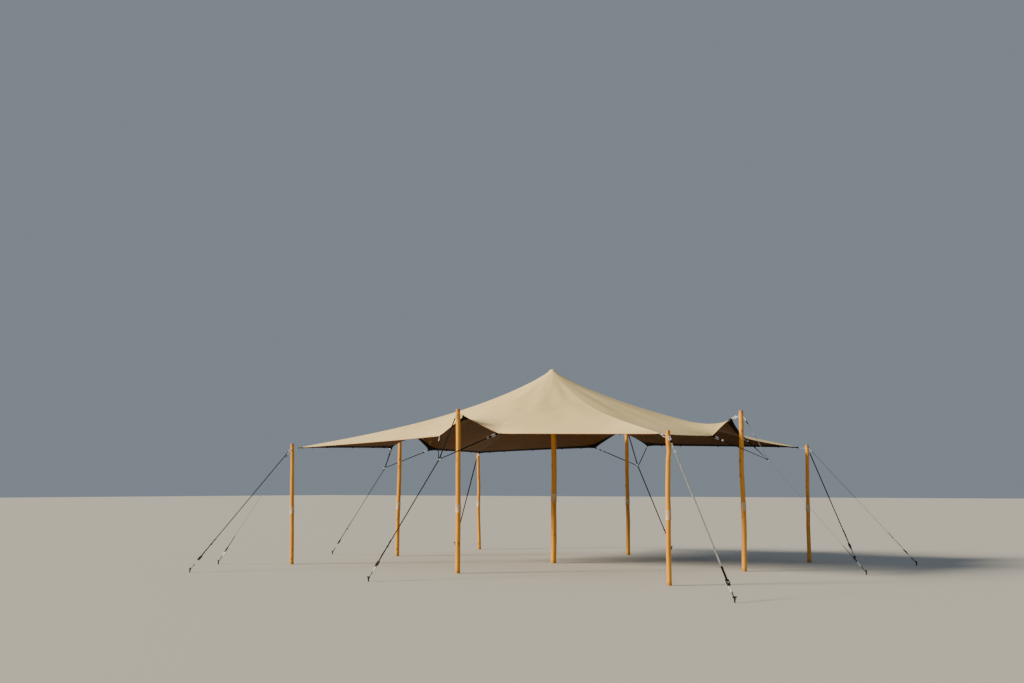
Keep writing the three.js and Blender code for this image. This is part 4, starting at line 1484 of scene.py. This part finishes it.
class Guy:
    """The link from the canopy to a pole's top, and the guy from there down to its stake."""

    def __init__(self, name, pole, order, pull):
        self.name, self.pole, self.pull, self.order = name, pole, pull, order
        self.height = EYE_HEIGHTS[pole.name] - order * EYE_STEP
        self.straps, self.steel, self.dark, self.ropes = Shape(), Shape(), Shape(), Shape()

    def face(self, target):
        """Where a line to a target starts, a little off the pole's face."""
        centre = self.pole.centre(self.height)
        return centre + (float(self.pole.radius(self.height)) + STANDOFF) * level_unit(target - centre)

    def canopy_link(self):
        """The tab under a pulled point of the canopy, and the link from it to the pole's screw eye."""
        edge_middle = self.pull - (CLOTH / 2) * UP
        run = Run(edge_middle, self.face(edge_middle), LINK_TURN)
        end = run.length - LINK_START
        add_tab(self.straps, run, self.pull, SHEEN_PAINTED_FINISH if self.pole.name in SHEEN_PAINTED_TABS else 0)
        add_link(self.steel, run, TAB_REACH - LINK_BAR, end, gate=-1)
        add_eye(self.steel, self.pole, run.at(end - LINK_BAR), -run.x, run.y)

    def lower_run(self, run, first, first_bar):
        """From a bar near the run's start down to the stake: strap, tail, ratchet, hook and strop."""
        end = run.length - STAKE_RADIUS - STANDOFF
        ratchet = end - STROP - HOOK - RATCHET
        add_strap(self.straps, run, first, ratchet + SPOOL - 0.006, first_bar)
        add_stitches(self.straps, run, first + SEAM_START)
        # A guy with painted sheen gets black sleeving above its ratchet instead of a spare end
        if self.name in SHEEN_PAINTED_GUYS:
            add_sleeving(self.ropes, run, ratchet - DARK_END, ratchet + 0.004)
        else:
            add_tail(self.straps, run, ratchet, 100 + len(self.name) + self.order)
        add_ratchet(self.dark, self.straps, run, ratchet)
        add_hook(self.steel, run, ratchet + RATCHET_BOLT - 0.002, end - STROP + 0.004)
        add_strop(self.ropes, run, end - STROP, stake_place(self.name))

    def build(self, ring_place=None):
        hitch = stake_place(self.name) + HITCH_HEIGHT * UP
        target = hitch if ring_place is None else ring_place
        run = Run(self.face(target), target)
        bar_at = LINK_START + LINK_LENGTH - LINK_BAR
        add_eye(self.steel, self.pole, run.at(LINK_START + LINK_BAR), run.x, run.y)
        add_link(self.steel, run, LINK_START, LINK_START + LINK_LENGTH)
        if self.order == 0:
            self.canopy_link()
        if ring_place is None:
            self.lower_run(run, bar_at, LINK_BAR)
        else:
            down = Run(ring_place, hitch)
            ring_bar = run.length - RING_RADIUS
            add_strap(self.straps, run, bar_at, ring_bar, LINK_BAR, RING_BAR)
            for start in (bar_at + SEAM_START, ring_bar - SEAM_START - SEAM):
                add_stitches(self.straps, run, start)
            path = ring(ring_place, RING_RADIUS, down.x, down.y, 40)
            self.steel.sweep(path, circle(RING_BAR, 12), down.z, closed=True)
            self.lower_run(down, RING_RADIUS, RING_BAR)
        # A guy with painted sheen takes the grey webbing, with black sleeving over the stretch beside
        # the eye
        light = self.name in SHEEN_PAINTED_GUYS
        if light:
            add_slider(self.steel, run, SLIDER)
            add_sleeving(self.ropes, run, bar_at + 0.012, DARK_EYE)
        finishes = [webbing_painted_sheen if light else black_webbing, thread, webbing_painted_sheen]
        self.straps.piece("straps_" + self.name, finishes, "webbing", ["guy_" + self.name])
        self.steel.piece("fittings_" + self.name, [plated_steel_painted_sky], "stake_steel")
        self.dark.piece("ratchet_" + self.name, [black_steel], "stake_steel")
        self.ropes.piece("strop_" + self.name, [rope_brown, black_webbing], "webbing")


CORNER_GUYS = {
    "front_left": ("front_left_1", "front_left_2"),
    "front_right": ("front_right",),
    "back_right": ("back_right_1", "back_right_2"),
    "back_left": ("back_left",),
}


def add_bridle_strap(shape, run, start, bar_way):
    """A strap from a link's bar to the ring's bar, which runs along bar_way, with a slow twist."""
    way = unit(bar_way - (bar_way @ run.x) * run.x)
    way = way if way @ run.y > 0 else -way
    first = run.upright(near_eye(start, LINK_BAR, 0.07))
    eye = far_eye(run.length, RING_BAR, 0.07)
    last = run.start + eye @ np.array([run.x, np.cross(run.x, way)])
    reach = np.linspace(start + 0.06, run.length - 0.06, 16)[:, None]
    side = unit(mixed(run.y, way, np.linspace(0, 1, 16)[:, None]))
    middle = run.start + reach * run.x + STRAP_LIE * np.cross(run.x, side)
    sides = [np.tile(run.y, (len(first), 1)), side, np.tile(way, (len(last), 1))]
    path = np.concatenate([first, middle, last])
    shape.sweep(path, flat_section(BRIDLE_WIDTH, STRAP), np.concatenate(sides))


def build_bridle(name):
    """Two side straps from a middle guy's ring to the canopy, each sewn back round the ring's bar."""
    straps, steel = Shape(), Shape()
    ring_place = RING_PLACES[name]
    down = Run(ring_place, stake_place(name) + HITCH_HEIGHT * UP)
    for pull in FLANKS[name]:
        way_up = unit(pull - ring_place)
        out = unit(0.35 * (way_up @ down.x) * down.x + (way_up @ down.y) * down.y)
        run = Run(pull - (CLOTH / 2) * UP, ring_place + RING_RADIUS * out, LINK_TURN)
        bar_at = TAB_REACH - 2 * LINK_BAR + LINK_LENGTH
        add_tab(straps, run, pull)
        add_link(steel, run, TAB_REACH - LINK_BAR, bar_at + LINK_BAR)
        add_bridle_strap(straps, run, bar_at, np.cross(out, down.z))
        add_slider(steel, run, bar_at + 0.072, BRIDLE_WIDTH)
        add_sleeving(straps, run, bar_at + 0.008, bar_at + 0.044, BRIDLE_WIDTH, 0)
    straps.piece("straps_bridle_" + name, [black_webbing, thread], "webbing", ["bridle_" + name])
    steel.piece("fittings_bridle_" + name, [plated_steel_painted_sky], "stake_steel")


# A stake's cross head: its half length and radius, with shares of both along it, and its welds'
# places, radii and beads
HEAD_REACH = 0.0345
HEAD_RADIUS = 0.0086
HEAD_SHARES = np.array([-1, -0.985, -0.95, -0.35, 0, 0.35, 0.95, 0.985, 1])
HEAD_SIZES = (0.70, 0.88, 1, 0.985, 1, 0.985, 1, 0.88, 0.70)
WELD_STEPS = 20
WELD_PLACE = 0.0118
WELD_RADIUS = 0.0098
WELD_BEAD = 0.0022


def build_stake(name):
    """A driven steel bar with a welded cross head, burred at the top by the hammer."""
    foot = stake_place(name)
    random = np.random.default_rng(len(name) * 7 + 3)
    shape = Shape()
    burr = random.uniform(0.0006, 0.0014)
    profile = [
        (0.0118, 0.0),
        (0.0120, 0.03),
        (0.0119, STAKE_TOP - 0.035),
        (0.0120, STAKE_TOP - 0.013),
        (0.0122 + burr, STAKE_TOP - 0.006),
        (0.0124 + burr, STAKE_TOP - 0.0035),
        (0.0115, STAKE_TOP - 0.001),
        (0.0070, STAKE_TOP - 0.0002),
    ]
    shape.lathe(profile, foot, 24)
    out = unit(foot)
    across = np.cross(UP, out)
    centre = foot + (STAKE_TOP - 0.010) * UP
    path = centre + HEAD_REACH * HEAD_SHARES[:, None] * across
    shape.sweep(path, circle(HEAD_RADIUS, 16), UP, sizes=HEAD_SIZES)
    for sign in (-1, 1):
        bead = ring(centre + sign * WELD_PLACE * across, WELD_RADIUS, out, UP, WELD_STEPS)
        sizes = 1 + 0.25 * random.uniform(-1, 1, WELD_STEPS)
        shape.sweep(bead, circle(WELD_BEAD, 8), across, closed=True, sizes=sizes)
    shape.piece("bar_" + name, [stake_steel], "stake_steel", ["stake_" + name])


for corner, names in CORNER_GUYS.items():
    for order, name in enumerate(names):
        Guy(name, POLES[corner], order, TIPS[corner]).build()
        build_stake(name)
for name in MIDDLES:
    Guy(name, POLES[name], 0, PEAKS[name]).build(RING_PLACES[name])
    build_bridle(name)
    build_stake(name)


# Floor, light and camera. Turns are in degrees.
FLOOR_HALF = 150.0
FLOOR_DROP = 0.0005
FLOOR_COLOUR = (0.50, 0.49, 0.46)
SKY_COLOUR = (0.74, 0.86, 1.0)
SKY_STRENGTH = 0.28
SUN_COLOUR = (1.0, 0.87, 0.64)
SUN_STRENGTH = 7.6
SUN_SPREAD = 14
SUN_TILT = 67
SUN_TURN = -44
CAMERA_PLACE = (12.111, -19.236, 1.534)
CAMERA_RISE = 7.67
CAMERA_TURN = 34.33
CAMERA_LENS = 38.18


def pale_floor():
    mesh = bpy.data.meshes.new("floor")
    corners = [(x * FLOOR_HALF, y * FLOOR_HALF, 0) for x, y in ((-1, -1), (1, -1), (1, 1), (-1, 1))]
    mesh.from_pydata(corners, [], [(0, 1, 2, 3)])
    floor = add_object("floor", mesh)
    floor.location.z = -FLOOR_DROP
    matt = Finish("floor_matt", base_color=FLOOR_COLOUR, roughness=0.95)
    mesh.materials.append(matt.material)


def soft_light():
    world = bpy.data.worlds.new("studio")
    world.use_nodes = True
    background = world.node_tree.nodes["Background"]
    background.inputs["Color"].default_value = (*SKY_COLOUR, 1)
    background.inputs["Strength"].default_value = SKY_STRENGTH
    bpy.context.scene.world = world
    key = bpy.data.lights.new("key", "SUN")
    key.energy = SUN_STRENGTH
    key.angle = math.radians(SUN_SPREAD)
    key.color = SUN_COLOUR
    lamp = add_object("key", key)
    lamp.rotation_euler = (math.radians(SUN_TILT), 0, math.radians(SUN_TURN))


def photo_camera():
    """The camera that the photograph was taken with, fitted to the feet and tops of the poles."""
    lens = bpy.data.cameras.new("camera")
    lens.sensor_width = 36.0
    lens.lens = CAMERA_LENS
    lens.clip_end = 500
    camera = add_object("camera", lens)
    camera.location = CAMERA_PLACE
    camera.rotation_euler = (math.radians(90 + CAMERA_RISE), 0, math.radians(CAMERA_TURN))
    bpy.context.scene.camera = camera


pale_floor()
soft_light()
photo_camera()
